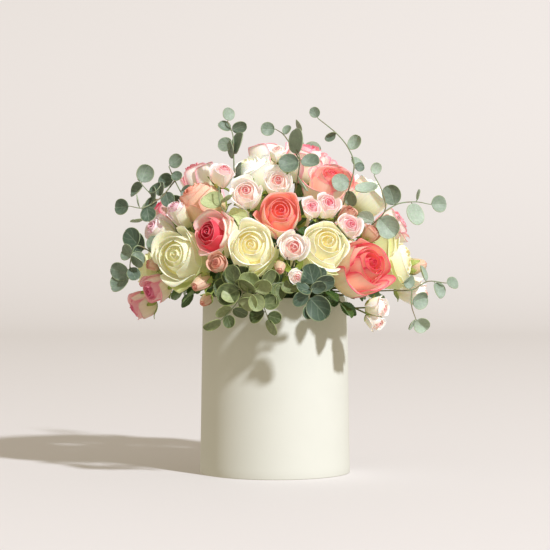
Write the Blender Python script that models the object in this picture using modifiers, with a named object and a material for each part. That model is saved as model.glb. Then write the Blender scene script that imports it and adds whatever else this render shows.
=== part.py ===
"""Rose box: a round card hat box filled with a dome of roses and eucalyptus.

The frame is in metres with +Z up. Its origin is the centre of the box's foot,
and the box stands on the plane z = 0. The side with the richest blooms looks
along -Y, and azimuths are counted from -Y towards +X.
"""
import math
from dataclasses import dataclass, field

import bmesh
import bpy
import numpy as np

MM = 0.001

# Box: a lightly tapered card tube, widest at its foot.
BOX_FOOT_DIAMETER = 0.180
BOX_RIM_DIAMETER = 0.173
BOX_HEIGHT = 0.213
BOX_WALL = 0.0025
BOX_FLOOR = 0.003
BOX_EDGE = 0.0008

# Liner: a thin plastic tub that keeps the wet foam off the card.
FIT_GAP = 0.0003
LINER_WALL = 0.0012
LINER_BELOW_RIM = 0.012

# Foam: fills the liner and rises above the rim as a low dome.
FOAM_SHOULDER_BELOW_RIM = 0.009
FOAM_CROWN_ABOVE_RIM = 0.026
FOAM_SHOULDER_RADIUS = 0.077
FOAM_MIDDLE_RADIUS = 0.046
HOLE_CLEARANCE = 0.0006
HOLE_OVERSHOOT = 0.006
FOAM_EDGE_DROP = 0.004
BOX_SIDES = 36
FOAM_SIDES = 24

# Every bloom is placed by its direction and reach from this centre.
DOME_CENTRE = np.array([0.0, 0.0, 0.215])

# Stems: their thickness, then how they stand in the foam.
ROSE_STEM_RADIUS = 0.0022
HIP_RADIUS = 0.0042
HIP_LENGTH = 0.007
SPRAY_STEM_RADIUS = 0.0015
PEDICEL_RADIUS = 0.0010
SPRIG_STEM_RADIUS = 0.0011
TWIG_THICKNESS_SHARE = 0.8
STEM_STEPS = 3
ROOT_DEPTH = 0.026
ROOT_AIM_HEIGHT = 0.100
ROOT_UPRIGHT_PULL = 0.6
OUTER_ENTRY_RADIUS = 0.064
INNER_ENTRY_RADIUS = 0.012
STEEPEST_ELEVATION = 85

# A bundle's trunk stem ends at its foot, and each further stem meets it a step higher.
BUNDLE_FOOT_HEIGHT = 0.112
BUNDLE_FOOT_RADIUS = 0.024
FOOT_STEP = 0.09

# A spray forks this far below its heads, and a pedicel ends this far inside its head.
FORK_DEPTH = 0.020
TIP_SINK_SHARE = 0.12

# Stems bend round the heads in small rounds, each a push outwards and a smoothing.
EASE_ROUNDS = 80
EASE_PUSH = 0.35
EASE_SMOOTHING = 0.15

# Stems near the rim pass over it.
RIM_ZONE = (0.068, 0.096)
RIM_AIR = 0.003

# Air between neighbours, and from what share of its room a petal starts to give way
CALYX_GAP = 0.0003
CLEARANCE = 0.0009
LEAF_MARGIN = 0.0014
SOFT_SHARE = 0.72
NEIGHBOUR_REACH = 0.030
STEM_REACH = 0.010

# Heads: where the base and the middle lie along the axis, as shares of the height, and
# how a petal's lip leans to one side and rises with its swing.
BASE_SHARE = 0.85
MIDDLE_SHARE = 0.55
LOBE_SKEW = 0.4
LOBE_RISE = 0.35

# Leaves: round ones on the eucalyptus, saw-toothed leaflets on the roses.
LEAF_THICKNESS = 0.0007
LEAF_CORNERS = 6
LEAF_CUP = 0.10
LEAF_LEAN = (-0.25, 0.35)
LEAF_TILT = 0.4
LEAN_SEED = 7
LEAFLET_WIDTH_SHARE = 0.58
LEAFLET_FOLD = 0.10
TEETH = 3
TOOTH_NOTCH = 0.86
TOOTH_HOOK = 0.03
PETIOLE_START_SHARE = 0.42
PETIOLE_STEPS = 4
SIDE_LEAFLET_SHARE = 0.75
SIDE_LEAFLET_ADVANCE = 0.35

# Faces that meet at less than this are merged into one.
FLAT_ANGLE = math.radians(1.0)

# Finish of each sub-part: colour (linear), roughness
FINISHES = {
    "card": ((0.82, 0.78, 0.68), 0.75),
    "liner": ((0.75, 0.77, 0.76), 0.35),
    "foam": ((0.10, 0.20, 0.09), 0.95),
    "cream": ((0.86, 0.82, 0.55), 0.55),
    "coral": ((0.85, 0.20, 0.14), 0.55),
    "peach": ((0.86, 0.48, 0.33), 0.55),
    "blush": ((0.87, 0.50, 0.48), 0.55),
    "deep_pink": ((0.75, 0.12, 0.17), 0.55),
    "green": ((0.10, 0.18, 0.05), 0.55),
    "eucalyptus": ((0.17, 0.26, 0.19), 0.65),
}


def direction(azimuth, elevation):
    """Unit vector of an azimuth from -Y towards +X and an elevation, in degrees."""
    a = math.radians(azimuth)
    e = math.radians(elevation)
    return np.array([math.sin(a) * math.cos(e), -math.cos(a) * math.cos(e), math.sin(e)])


def unit(vector):
    """The vector at length one."""
    return vector / np.linalg.norm(vector)


def across_frame(axis, roll=0.0):
    """Two unit vectors across an axis, turned about it by roll degrees."""
    guide = np.array([0.0, 1.0, 0.0]) if abs(axis[2]) > 0.95 else np.array([0.0, 0.0, 1.0])
    side = unit(np.cross(guide, axis))
    lift = np.cross(axis, side)
    turn = math.radians(roll)
    across = side * math.cos(turn) + lift * math.sin(turn)
    return across, np.cross(axis, across)


@dataclass
class Bloom:
    """One flower head: where its face is, how wide it is, and where it looks."""

    name: str
    azimuth: float
    elevation: float
    reach: float
    diameter: float
    face_azimuth: float
    face_elevation: float
    colour: str = "blush"
    slimness: float = 0.80
    roll: float = 0.0
    planes: list = field(default_factory=list)

    @property
    def radius(self):
        return self.diameter * MM / 2

    @property
    def height(self):
        return self.diameter * MM * self.slimness

    @property
    def axis(self):
        return direction(self.face_azimuth, self.face_elevation)

    @property
    def face(self):
        return DOME_CENTRE + self.reach * MM * direction(self.azimuth, self.elevation)

    @property
    def base(self):
        return self.face - self.axis * self.height * BASE_SHARE

    @property
    def middle(self):
        return self.base + self.axis * self.height * MIDDLE_SHARE

    def place(self, points):
        """Points in the head's own frame, base at zero and axis along z, as world points."""
        across, up = across_frame(self.axis, self.roll)
        return self.base + points @ np.array([across, up, self.axis])

    def confine(self, points):
        """Draw points softly towards the middle so that none passes a neighbour's plane."""
        offset = points - self.middle
        distance = np.linalg.norm(offset, axis=1)
        heading = offset / np.maximum(distance, 1e-9)[:, None]
        room = np.full(len(points), 1.0)
        for normal, limit in self.planes:
            towards = heading @ normal
            room = np.where(towards > 1e-3, np.minimum(room, limit / np.maximum(towards, 1e-3)), room)
        share = distance / room
        soft = 1 - (1 - SOFT_SHARE) * np.exp(-(share - SOFT_SHARE) / (1 - SOFT_SHARE))
        share = np.where(share > SOFT_SHARE, soft, share)
        return self.middle + heading * (share * room)[:, None]


# Large roses: azimuth, elevation, reach in mm, diameter in mm, then where each one faces.
ROSES = [
    Bloom("rose_white_left", -52, 18, 155, 68, -22, 8, "cream", roll=20),
    Bloom("rose_white_front", -11, 23, 155, 64, -2, 14, "cream", roll=50),
    Bloom("rose_white_front_right", 25, 24, 155, 66, 14, 22, "cream", roll=10),
    Bloom("rose_white_right", 80, 15, 160, 64, 78, 12, "cream", roll=0),
    Bloom("rose_white_crown", -42, 72, 160, 54, -60, 55, "cream", roll=30),
    Bloom("rose_white_high_right", 92, 46, 172, 54, 95, 45, "cream", roll=0),
    Bloom("rose_coral_front", 3, 40, 155, 56, 3, 22, "coral", roll=0),
    Bloom("rose_coral_left", -34, 29, 155, 56, -38, 14, "coral", roll=0),
    Bloom("rose_coral_crown", 58, 60, 160, 60, 20, 58, "coral", roll=15),
    Bloom("rose_coral_right", 46, 14, 157, 70, 38, 18, "coral", roll=40),
    Bloom("rose_peach_left", -62, 48, 162, 54, -70, 52, "peach", slimness=0.95),
    Bloom("rose_pink_high_left", -100, 56, 178, 46, -105, 65, "blush", roll=20),
    Bloom("rose_deep_pink_left", -96, 36, 172, 46, -95, 38, "deep_pink", roll=0),
    Bloom("rose_blush_right", 92, 30, 172, 46, 84, 30, "blush", roll=10),
    Bloom("rose_pink_crown_left", -160, 76, 178, 40, -150, 70, "blush", roll=0),
    Bloom("rose_pink_crown", 115, 76, 176, 58, 60, 72, "blush", roll=25),
    Bloom("rose_green_white_left", -80, 10, 160, 50, -82, 8, "cream", roll=35),
    Bloom("rose_white_back_right", 118, 14, 158, 66, 118, 16, "cream", roll=12),
    Bloom("rose_coral_back_right", 150, 20, 158, 64, 150, 22, "coral", roll=44),
    Bloom("rose_white_back", 182, 14, 158, 68, 182, 16, "cream", roll=5),
    Bloom("rose_coral_back_left", 214, 20, 158, 62, 212, 22, "coral", roll=30),
    Bloom("rose_white_back_left", 247, 16, 158, 66, 246, 18, "cream", roll=22),
    Bloom("rose_peach_back", 136, 48, 162, 56, 136, 46, "peach", roll=8),
    Bloom("rose_white_back_high", 186, 47, 162, 60, 186, 46, "cream", roll=33),
    Bloom("rose_blush_back", 232, 46, 164, 54, 232, 46, "blush", roll=16),
]

# Spray roses: each spray is one branched stem; its heads are small blooms and closed buds.
# Each head: azimuth, elevation, reach in mm, diameter in mm, then where it faces.
SPRAYS = {
    "spray_crown_front": [
        Bloom("open", -18, 48, 165, 41, -6, 22),
        Bloom("twin", 2, 55, 165, 36, 4, 25),
        Bloom("half_open", -45, 60, 170, 28, 30, 50, slimness=1.0),
    ],
    "spray_front_centre": [
        Bloom("open", 8, 21, 166, 38, 8, 8),
        Bloom("bud", 9, 9, 163, 20, 8, -5, slimness=1.3),
        Bloom("pale_bud", 2, 12, 160, 16, -5, -30, slimness=1.5),
    ],
    "spray_left_high": [
        Bloom("half_open", -62, 38, 168, 31, -50, 45, slimness=1.15),
        Bloom("open", -73, 28, 170, 36, -60, 30, slimness=0.95),
    ],
    "spray_left_low": [
        Bloom("open", -66, 2, 160, 38, -50, -22),
        Bloom("side", -84, -6, 168, 37, -75, -25),
        Bloom("bud", -66, 13, 166, 20, -60, 5, slimness=1.2),
    ],
    "spray_right_high": [
        Bloom("small", 20, 40, 164, 26, 5, 30),
        Bloom("twin", 30, 41, 166, 32, 22, 34),
        Bloom("pale", 43, 38, 162, 20, 35, 45, slimness=1.2),
        Bloom("open", 37, 30, 168, 33, 28, 25),
        Bloom("peach", 56, 29, 160, 24, 60, 45),
    ],
    "spray_front_left": [
        Bloom("ruffled", -26, 15, 160, 26, -20, 12),
        Bloom("long_bud", -35, 5, 160, 20, -35, -20, slimness=1.5),
        Bloom("tiny_bud", -32, -2, 156, 15, -30, -30, slimness=1.2),
    ],
    "spray_right_low": [
        Bloom("open", 51, -5, 162, 30, 62, -5),
        Bloom("twin", 50, -11, 160, 26, 48, -35),
    ],
    "spray_far_right": [
        Bloom("half_open", 86, 0, 175, 35, 80, -18, slimness=1.1),
        Bloom("bud", 92, 11, 182, 22, 100, 10, slimness=1.2),
    ],
    "spray_crown_back": [
        Bloom("pale", 20, 87, 172, 22, 0, 60),
        Bloom("open", 165, 66, 170, 36, 165, 60),
    ],
    "spray_back_right": [
        Bloom("open", 133, 2, 160, 34, 133, -5),
        Bloom("bud", 135, 31, 168, 24, 132, 30, slimness=1.2),
    ],
    "spray_back_middle": [
        Bloom("half_open", 168, 32, 168, 32, 168, 32, slimness=1.0),
        Bloom("bud", 166, 3, 160, 24, 166, -10, slimness=1.2),
    ],
    "spray_back_left": [
        Bloom("open", 199, 32, 168, 34, 199, 30),
        Bloom("small", 199, -1, 160, 30, 199, -8),
    ],
    "spray_far_back_left": [
        Bloom("open", 231, 4, 160, 34, 231, -6),
        Bloom("half_open", 230, 31, 170, 30, 230, 30, slimness=1.0),
    ],
}


# Sprays whose stem stands elsewhere than straight below its heads: azimuth, radius in mm.
SPRAY_ENTRIES = {"spray_crown_back": (150, 8)}


@dataclass
class Branch:
    """One twig: its route in mm and its leaves (share of the route, diameter in mm, angle)."""

    route: list
    leaves: list


@dataclass
class Sprig:
    """One eucalyptus stem: where it enters the foam, where its leaves look, and its twigs."""

    name: str
    entry_azimuth: float
    entry_radius: float
    look_azimuth: float
    look_elevation: float
    branches: list


SPRIGS = [
    Sprig("eucalyptus_right_high", 66, 52, 20, 8, [
        Branch([(120, -62, 308), (128, -84, 314), (125, -88, 337), (116, -80, 356)],
               [(0.30, 28, -50), (0.20, 20, 160), (0.85, 27, 200), (1.0, 14, 75)]),
        Branch([(128, -84, 314), (146, -50, 323), (167, -40, 325), (184, -35, 322)],
               [(0.35, 24, 100), (0.70, 27, -75), (0.78, 14, 70), (1.0, 21, 3)]),
    ]),
    Sprig("eucalyptus_right_low", 74, 62, 25, 0, [
        Branch([(143, -50, 214), (162, -45, 221), (181, -45, 231), (202, -45, 229)],
               [(0.66, 20, 98), (0.80, 20, -65), (1.0, 16, 0), (0.36, 17, 105)]),
        Branch([(162, -45, 221), (161, -60, 203), (166, -60, 187)],
               [(0.50, 22, 15), (1.0, 20, -40), (1.0, 14, -135)]),
    ]),
    Sprig("eucalyptus_crown_right", 84, 34, 15, 15, [
        Branch([(90, -75, 345), (93, -60, 365), (88, -45, 386), (74, -35, 405), (51, -30, 424)],
               [(1.0, 13, 120), (0.76, 15, -160), (0.54, 19, 50), (0.46, 17, -50),
                (0.32, 12, 15), (0.18, 22, 185), (0.10, 19, -75)]),
    ]),
    Sprig("eucalyptus_crown", 15, 34, 5, 12, [
        Branch([(29, -110, 337), (29, -95, 374), (25, -85, 386)],
               [(0.86, 30, 88), (0.70, 24, 195), (0.70, 22, -12), (0.35, 22, -70)]),
        Branch([(29, -95, 374), (12, -55, 402), (1, -38, 411)],
               [(1.0, 17, 180), (0.75, 12, 60)]),
    ]),
    Sprig("eucalyptus_crown_left", -60, 22, -15, 10, [
        Branch([(-46, -60, 365), (-49, -45, 386), (-50, -40, 405), (-56, -38, 420)],
               [(0.46, 27, 70), (0.40, 22, 118), (0.85, 18, 25), (0.85, 16, 155), (1.0, 16, 90),
                (0.62, 18, 175), (0.14, 24, 205), (0.14, 16, 15)]),
    ]),
    Sprig("eucalyptus_left_crown", -27, 40, -20, 20, [
        Branch([(-62, -110, 302), (-63, -112, 322), (-65, -105, 344)],
               [(0.55, 27, 150), (0.62, 17, 25), (0.28, 22, -5), (0.08, 18, -80)]),
    ]),
    Sprig("eucalyptus_left_high", -87, 52, -30, 12, [
        Branch([(-112, -16, 334), (-119, -26, 350), (-126, -30, 367)],
               [(0.42, 21, -15), (0.70, 20, 195), (1.0, 18, 40)]),
        Branch([(-119, -26, 350), (-138, -30, 328), (-150, -34, 337), (-163, -34, 352)],
               [(0.90, 22, 75), (0.84, 20, 205), (0.55, 17, -110)]),
        Branch([(-138, -30, 328), (-156, -42, 318), (-172, -44, 320)],
               [(1.0, 20, 185), (0.45, 20, -70)]),
    ]),
    Sprig("eucalyptus_left_low", -64, 60, -40, 0, [
        Branch([(-147, -60, 269), (-161, -70, 274), (-169, -70, 259), (-171, -68, 239)],
               [(0.30, 27, 150), (0.62, 20, 172), (0.55, 18, -75), (1.0, 27, 215)]),
    ]),
    Sprig("eucalyptus_front", -20, 62, -10, -6, [
        Branch([(-45, -150, 248), (-46, -168, 233), (-37, -172, 224), (-45, -165, 209),
                (-61, -150, 191)],
               [(0.14, 27, 195), (0.12, 25, 65), (0.32, 26, -5), (0.42, 27, 205), (0.50, 22, -50),
                (0.74, 20, -160), (0.76, 18, -30), (1.0, 22, 205)]),
        Branch([(-37, -172, 224), (-20, -170, 222), (-13, -165, 207), (-8, -155, 193)],
               [(0.35, 22, 60), (0.60, 19, 10), (0.80, 21, 205), (1.0, 20, -70)]),
    ]),
    Sprig("eucalyptus_front_right", 17, 62, 15, 0, [
        Branch([(46, -130, 242), (46, -155, 234), (39, -160, 219), (40, -152, 206)],
               [(0.50, 24, 100), (0.52, 24, 15), (0.78, 30, -50), (0.72, 21, 200)]),
    ]),
    Sprig("eucalyptus_back_right", 126, 66, 128, 5, [
        Branch([(110, 86, 236), (134, 105, 250), (148, 115, 252), (158, 124, 238)],
               [(0.40, 26, 80), (0.42, 24, -95), (0.72, 22, 60), (0.74, 22, -110), (1.0, 18, -30)]),
    ]),
    Sprig("eucalyptus_back", 198, 60, 198, 5, [
        Branch([(-43, 132, 258), (-49, 152, 266), (-52, 163, 262), (-54, 168, 248)],
               [(0.38, 27, 20), (0.40, 25, 170), (0.68, 24, -10), (0.70, 24, 200), (1.0, 20, -90)]),
    ]),
    Sprig("eucalyptus_back_left", 240, 50, 238, 10, [
        Branch([(-118, 74, 284), (-142, 88, 300), (-155, 97, 306), (-166, 104, 300)],
               [(0.38, 25, 75), (0.40, 24, -100), (0.70, 22, 50), (0.72, 20, -120), (1.0, 18, 0)]),
    ]),
    Sprig("eucalyptus_back_high", 162, 30, 165, 30, [
        Branch([(29, 80, 344), (34, 100, 372), (36, 108, 392), (30, 112, 408)],
               [(0.30, 26, 10), (0.32, 25, 175), (0.64, 22, 20), (0.66, 22, 160), (1.0, 17, 90)]),
    ]),
]

# Rose foliage: each leaf grows from a large rose's stem and its leaflets face outwards.
# Each one: rose, tip in mm, leaflet length in mm, leaflet count.
ROSE_LEAVES = [
    ("rose_white_left", (-108, -122, 212), 30, 3),
    ("rose_coral_right", (90, -118, 194), 34, 3),
    ("rose_white_front_right", (72, -136, 214), 28, 1),
    ("rose_white_back_right", (138, 66, 204), 32, 3),
    ("rose_white_back", (30, 158, 206), 32, 3),
    ("rose_white_back_left", (-138, 64, 206), 32, 3),
]

# Large roses whose stems share one green node, by the sector of the dome that they fill.
GREEN_SECTORS = {
    "rose_greens_front": (-25, 35),
    "rose_greens_right": (35, 105),
    "rose_greens_back_right": (105, 170),
    "rose_greens_back_left": (170, 255),
    "rose_greens_left": (255, 335),
}


def box_radius(height):
    """Outer radius of the tapered box at a height."""
    share = height / BOX_HEIGHT
    return (BOX_FOOT_DIAMETER * (1 - share) + BOX_RIM_DIAMETER * share) / 2


def foam_height(radius):
    """Height of the foam's domed top at a distance from the axis."""
    shoulder = BOX_HEIGHT - FOAM_SHOULDER_BELOW_RIM
    crown = BOX_HEIGHT + FOAM_CROWN_ABOVE_RIM
    return shoulder + (crown - shoulder) * (1 - (radius / FOAM_SHOULDER_RADIUS) ** 2)


def foam_point(azimuth, radius):
    """Point on the foam's top."""
    flat = direction(azimuth, 0) * radius
    return np.array([flat[0], flat[1], foam_height(radius)])


def entry_radius(elevation):
    """A steep bloom's stem enters near the foam's middle, a low one's near its edge."""
    share = np.clip(elevation / STEEPEST_ELEVATION, 0, 1) ** 1.1
    return OUTER_ENTRY_RADIUS + (INNER_ENTRY_RADIUS - OUTER_ENTRY_RADIUS) * share


def hermite(start, start_pull, end, end_pull, steps):
    """Points of a smooth curve between two ends that leaves and arrives along two pulls."""
    t = np.linspace(0, 1, steps + 1)[:, None]
    return ((2 * t**3 - 3 * t**2 + 1) * start + (t**3 - 2 * t**2 + t) * start_pull
            + (3 * t**2 - 2 * t**3) * end + (t**3 - t**2) * end_pull)


@dataclass
class Stem:
    """The run of one stem or twig: its points, its thickness and the node that it belongs to."""

    node: str
    points: np.ndarray
    radius: float
    tip_bloom: str = ""


def bloom_label(node, bloom):
    """Name that tells one head from the others."""
    return bloom.name if node == bloom.name else f"{node}/{bloom.name}"


def all_blooms():
    """Every head with the node that it belongs to."""
    listed = [(rose.name, rose) for rose in ROSES]
    for node, heads in SPRAYS.items():
        listed += [(node, head) for head in heads]
    return listed


def ease_past_heads(points, first, last, radius, skip=()):
    """Bend a stem's points from first up to last sideways out of the heads that it would cross."""
    points = points.copy()
    heads = [bloom for node, bloom in all_blooms() if bloom_label(node, bloom) not in skip]
    centres = np.array([bloom.middle for bloom in heads])
    rooms = np.array([bloom.radius * 0.98 + radius + CLEARANCE for bloom in heads])
    for _ in range(EASE_ROUNDS):
        for i in range(first, last):
            away = points[i] - centres
            distance = np.linalg.norm(away, axis=1)
            depth = np.maximum(rooms - distance, 0)
            points[i] += (away / distance[:, None] * depth[:, None]).sum(0) * EASE_PUSH
        inner = points[first:last]
        inner += EASE_SMOOTHING * (points[first - 1:last - 1] - 2 * inner + points[first + 1:last + 1])
    return points


def over_the_rim(points, radius):
    """Lift points that would touch the box's rim or wall."""
    points = points.copy()
    from_axis = np.linalg.norm(points[:, :2], axis=1)
    near_rim = (from_axis > RIM_ZONE[0]) & (from_axis < RIM_ZONE[1])
    lowest = BOX_HEIGHT + radius + RIM_AIR
    points[near_rim, 2] = np.maximum(points[near_rim, 2], lowest)
    return points


def sector_of(rose):
    """Green node that holds a large rose's stem."""
    azimuth = rose.azimuth % 360
    for node, (first, last) in GREEN_SECTORS.items():
        if first <= azimuth < last or first <= azimuth - 360 < last:
            return node
    raise ValueError(rose.name)


def bundle_foot(node):
    """Point deep in the foam where a bundle's trunk stem ends."""
    foot = direction(sum(GREEN_SECTORS[node]) / 2, 0) * BUNDLE_FOOT_RADIUS
    return foot + np.array([0, 0, BUNDLE_FOOT_HEIGHT])


def stem_entry(rose):
    """Point where a large rose's stem enters the foam."""
    return foam_point(rose.azimuth, entry_radius(rose.elevation))


def root_heading(entry):
    """Direction in which a lone stem rises out of the foam: outwards, but mostly up."""
    outward = unit(entry - np.array([0, 0, ROOT_AIM_HEIGHT]))
    return unit(outward + np.array([0, 0, ROOT_UPRIGHT_PULL]))


def rose_stems():
    """Large roses' stems: in each bundle the middle one runs deepest and the others meet it."""
    stems = []
    for node, (first, last) in GREEN_SECTORS.items():
        roses = [rose for rose in ROSES if sector_of(rose) == node]
        middle = (first + last) / 2
        roses.sort(key=lambda rose: abs((rose.azimuth - middle + 180) % 360 - 180))
        foot = bundle_foot(node)
        trunk_entry = stem_entry(roses[0])
        for index, rose in enumerate(roses):
            entry = stem_entry(rose)
            meet = foot + (trunk_entry - foot) * FOOT_STEP * index
            top = rose.base - rose.axis * CALYX_GAP
            span = np.linalg.norm(top - entry)
            run = hermite(entry, unit(entry - meet) * span, top, rose.axis * span * 0.9, STEM_STEPS)
            stems.append(Stem(node, np.vstack([meet, run]), ROSE_STEM_RADIUS, rose.name))
    return stems


def spray_stems(node, heads):
    """A spray's stem up to its fork, then one pedicel for each head."""
    bases = np.array([head.base for head in heads])
    centre = bases.mean(axis=0)
    fork = centre + unit(DOME_CENTRE - centre) * FORK_DEPTH
    flat = fork[:2] / np.linalg.norm(fork[:2])
    azimuth = math.degrees(math.atan2(flat[0], -flat[1]))
    lift = math.degrees(math.asin(unit(fork - DOME_CENTRE)[2]))
    entry = foam_point(azimuth, entry_radius(max(lift, 0)))
    if node in SPRAY_ENTRIES:
        azimuth, radius = SPRAY_ENTRIES[node]
        entry = foam_point(azimuth, radius * MM)
    outward = root_heading(entry)
    root = entry - outward * ROOT_DEPTH
    span = np.linalg.norm(fork - entry)
    run = hermite(entry, outward * span, fork, unit(centre - fork) * span * 0.6, STEM_STEPS)
    points = over_the_rim(np.vstack([root, run]), SPRAY_STEM_RADIUS)
    labels = [bloom_label(node, head) for head in heads]
    points = ease_past_heads(points, 2, len(points) - 1, SPRAY_STEM_RADIUS, labels)
    stems = [Stem(node, over_the_rim(points, SPRAY_STEM_RADIUS), SPRAY_STEM_RADIUS)]
    for head, label in zip(heads, labels):
        tip = head.base + head.axis * TIP_SINK_SHARE * head.height
        stems.append(Stem(node, np.array([fork, tip]), PEDICEL_RADIUS, label))
    return stems


def sprig_stems(sprig):
    """A eucalyptus stem from the foam outwards, then its side twigs."""
    entry = foam_point(sprig.entry_azimuth, sprig.entry_radius * MM)
    outward = root_heading(entry)
    root = entry - outward * ROOT_DEPTH
    stems = []
    for index, branch in enumerate(sprig.branches):
        route = np.array(branch.route, dtype=float) * MM
        if index == 0:
            span = np.linalg.norm(route[0] - entry)
            onward = unit(route[1] - route[0])
            run = hermite(entry, outward * span * 0.8, route[0], onward * span * 0.6, STEM_STEPS)
            route = np.vstack([root, run, route[1:]])
            route = over_the_rim(route, SPRIG_STEM_RADIUS)
            inner_end = len(route) - len(branch.route) + 1
            eased = ease_past_heads(route, 2, inner_end, SPRIG_STEM_RADIUS)
            route = over_the_rim(eased, SPRIG_STEM_RADIUS)
        stems.append(Stem(sprig.name, route, SPRIG_STEM_RADIUS))
    return stems


def add_head_planes(stems):
    """Give each head the planes that keep it off its neighbours and off passing stems."""
    heads = all_blooms()
    for node, bloom in heads:
        bloom.planes.clear()
        for other_node, other in heads:
            if other is bloom:
                continue
            offset = other.middle - bloom.middle
            gap = np.linalg.norm(offset)
            if gap > bloom.radius + other.radius + NEIGHBOUR_REACH:
                continue
            share = (gap**2 + bloom.radius**2 - other.radius**2) / (2 * gap)
            bloom.planes.append((offset / gap, share - CLEARANCE))
        label = bloom_label(node, bloom)
        for stem in stems:
            if stem.node == node or stem.tip_bloom == label:
                continue
            for start, end in zip(stem.points[:-1], stem.points[1:]):
                along = end - start
                share = np.clip((bloom.middle - start) @ along / (along @ along), 0, 1)
                offset = start + along * share - bloom.middle
                gap = np.linalg.norm(offset)
                if gap < bloom.radius * 1.3 + STEM_REACH:
                    bloom.planes.append((offset / gap, gap - stem.radius - CLEARANCE))


# Rings of a head, from its base up its outer petals' backs and then in and out over the lips of
# each layer: radius share, height share, lobes, how far a lobe swings out, turn in degrees.
ROSE_RINGS = [
    (0.15, 0.00, 0, 0.00, 0),
    (0.54, 0.11, 0, 0.00, 0),
    (0.84, 0.42, 5, 0.03, 0),
    (1.00, 0.76, 5, 0.09, 0),
    (0.74, 0.62, 5, 0.03, 18),
    (0.72, 0.92, 5, 0.07, 36),
    (0.46, 0.74, 5, 0.02, 50),
    (0.40, 1.00, 3, 0.07, 60),
]
ROSE_TIP = 0.84
# The roses of the rear side have one layer of petals fewer.
REAR_ROSE_RINGS = [
    (0.15, 0.00, 0, 0.00, 0),
    (0.54, 0.11, 0, 0.00, 0),
    (0.84, 0.42, 5, 0.03, 0),
    (1.00, 0.76, 5, 0.09, 0),
    (0.66, 0.60, 5, 0.03, 18),
    (0.54, 0.96, 5, 0.09, 36),
]
REAR_ROSE_TIP = 0.72
SMALL_RINGS = [
    (0.18, 0.00, 0, 0.00, 0),
    (0.80, 0.36, 4, 0.03, 0),
    (1.00, 0.74, 4, 0.08, 0),
    (0.66, 0.62, 4, 0.02, 20),
    (0.50, 0.95, 4, 0.07, 45),
]
SMALL_TIP = 0.80
BUD_RINGS = [
    (0.25, 0.00, 0, 0.00, 0),
    (0.85, 0.25, 0, 0.00, 0),
    (0.95, 0.48, 4, 0.06, 0),
    (0.55, 0.86, 4, 0.10, 30),
]
BUD_TIP = 1.0


def head_shape(bloom, large):
    """Rings, tip height and side count that suit a head's size and kind."""
    if large:
        if 75 < bloom.azimuth % 360 < 285:
            return REAR_ROSE_RINGS, REAR_ROSE_TIP, 10
        return ROSE_RINGS, ROSE_TIP, 12
    if "bud" in bloom.name:
        return BUD_RINGS, BUD_TIP, 8
    return SMALL_RINGS, SMALL_TIP, 8


def head_mesh(bloom, large):
    """A head as one solid: nested cups of petals whose lips swing out in lobes."""
    rings, tip, sides = head_shape(bloom, large)
    theta = np.linspace(0, 2 * math.pi, sides, endpoint=False)
    rows = []
    for radius_share, height_share, lobes, swing, turn in rings:
        phase = lobes * (theta - math.radians(turn))
        lobe = swing * (np.cos(phase) + LOBE_SKEW * np.sin(2 * phase)) if lobes else np.zeros(sides)
        radius = bloom.radius * (radius_share + lobe)
        height = bloom.height * (height_share + LOBE_RISE * lobe)
        rows.append(np.stack([radius * np.cos(theta), radius * np.sin(theta), height], axis=1))
    rows.append(np.array([[0, 0, bloom.height * tip]]))
    points = bloom.confine(bloom.place(np.vstack(rows)))
    faces = [tuple(range(sides))[::-1]]
    for row in range(len(rings) - 1):
        for side in range(sides):
            a = row * sides + side
            b = row * sides + (side + 1) % sides
            faces += [(a, b, b + sides), (a, b + sides, a + sides)]
    last = (len(rings) - 1) * sides
    faces += [(last + side, last + (side + 1) % sides, last + sides) for side in range(sides)]
    mesh = bpy.data.meshes.new("head")
    mesh.from_pydata(points.tolist(), [], faces)
    return mesh, points


def finish_material(name):
    """The material of one finish, made once."""
    material = bpy.data.materials.get(name)
    if material is None:
        colour, roughness = FINISHES[name]
        material = bpy.data.materials.new(name)
        material.use_nodes = True
        shader = material.node_tree.nodes["Principled BSDF"]
        shader.inputs["Base Color"].default_value = (*colour, 1)
        shader.inputs["Roughness"].default_value = roughness
        shader.inputs["Metallic"].default_value = 0
        material.diffuse_color = (*colour, 1)
    return material


def put(name, mesh, collection, finish=None):
    """An object of a mesh in a collection, with its finish."""
    built = bpy.data.objects.new(name, mesh)
    collection.objects.link(built)
    if finish:
        mesh.materials.clear()
        mesh.materials.append(finish_material(finish))
    return built


def evaluated_mesh(built):
    """The object's mesh with its modifiers applied."""
    graph = bpy.context.evaluated_depsgraph_get()
    return bpy.data.meshes.new_from_object(built.evaluated_get(graph))


def weld(mesh, distance=0.00001):
    """Join doubled points, such as those of a curve's caps."""
    shape = bmesh.new()
    shape.from_mesh(mesh)
    bmesh.ops.remove_doubles(shape, verts=shape.verts, dist=distance)
    bmesh.ops.recalc_face_normals(shape, faces=shape.faces)
    shape.to_mesh(mesh)
    shape.free()


def tube(name, points, radii, collection, resolution=0):
    """A round stem through the points, as a welded closed mesh."""
    curve = bpy.data.curves.new(name, "CURVE")
    curve.dimensions = "3D"
    curve.bevel_depth = 1.0
    curve.bevel_resolution = resolution
    curve.use_fill_caps = True
    spline = curve.splines.new("POLY")
    spline.points.add(len(points) - 1)
    for target, point, radius in zip(spline.points, points, radii):
        target.co = (*point, 1)
        target.radius = radius
    guide = bpy.data.objects.new(name, curve)
    collection.objects.link(guide)
    mesh = evaluated_mesh(guide)
    weld(mesh)
    bpy.data.objects.remove(guide)
    return put(name, mesh, collection)


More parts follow.
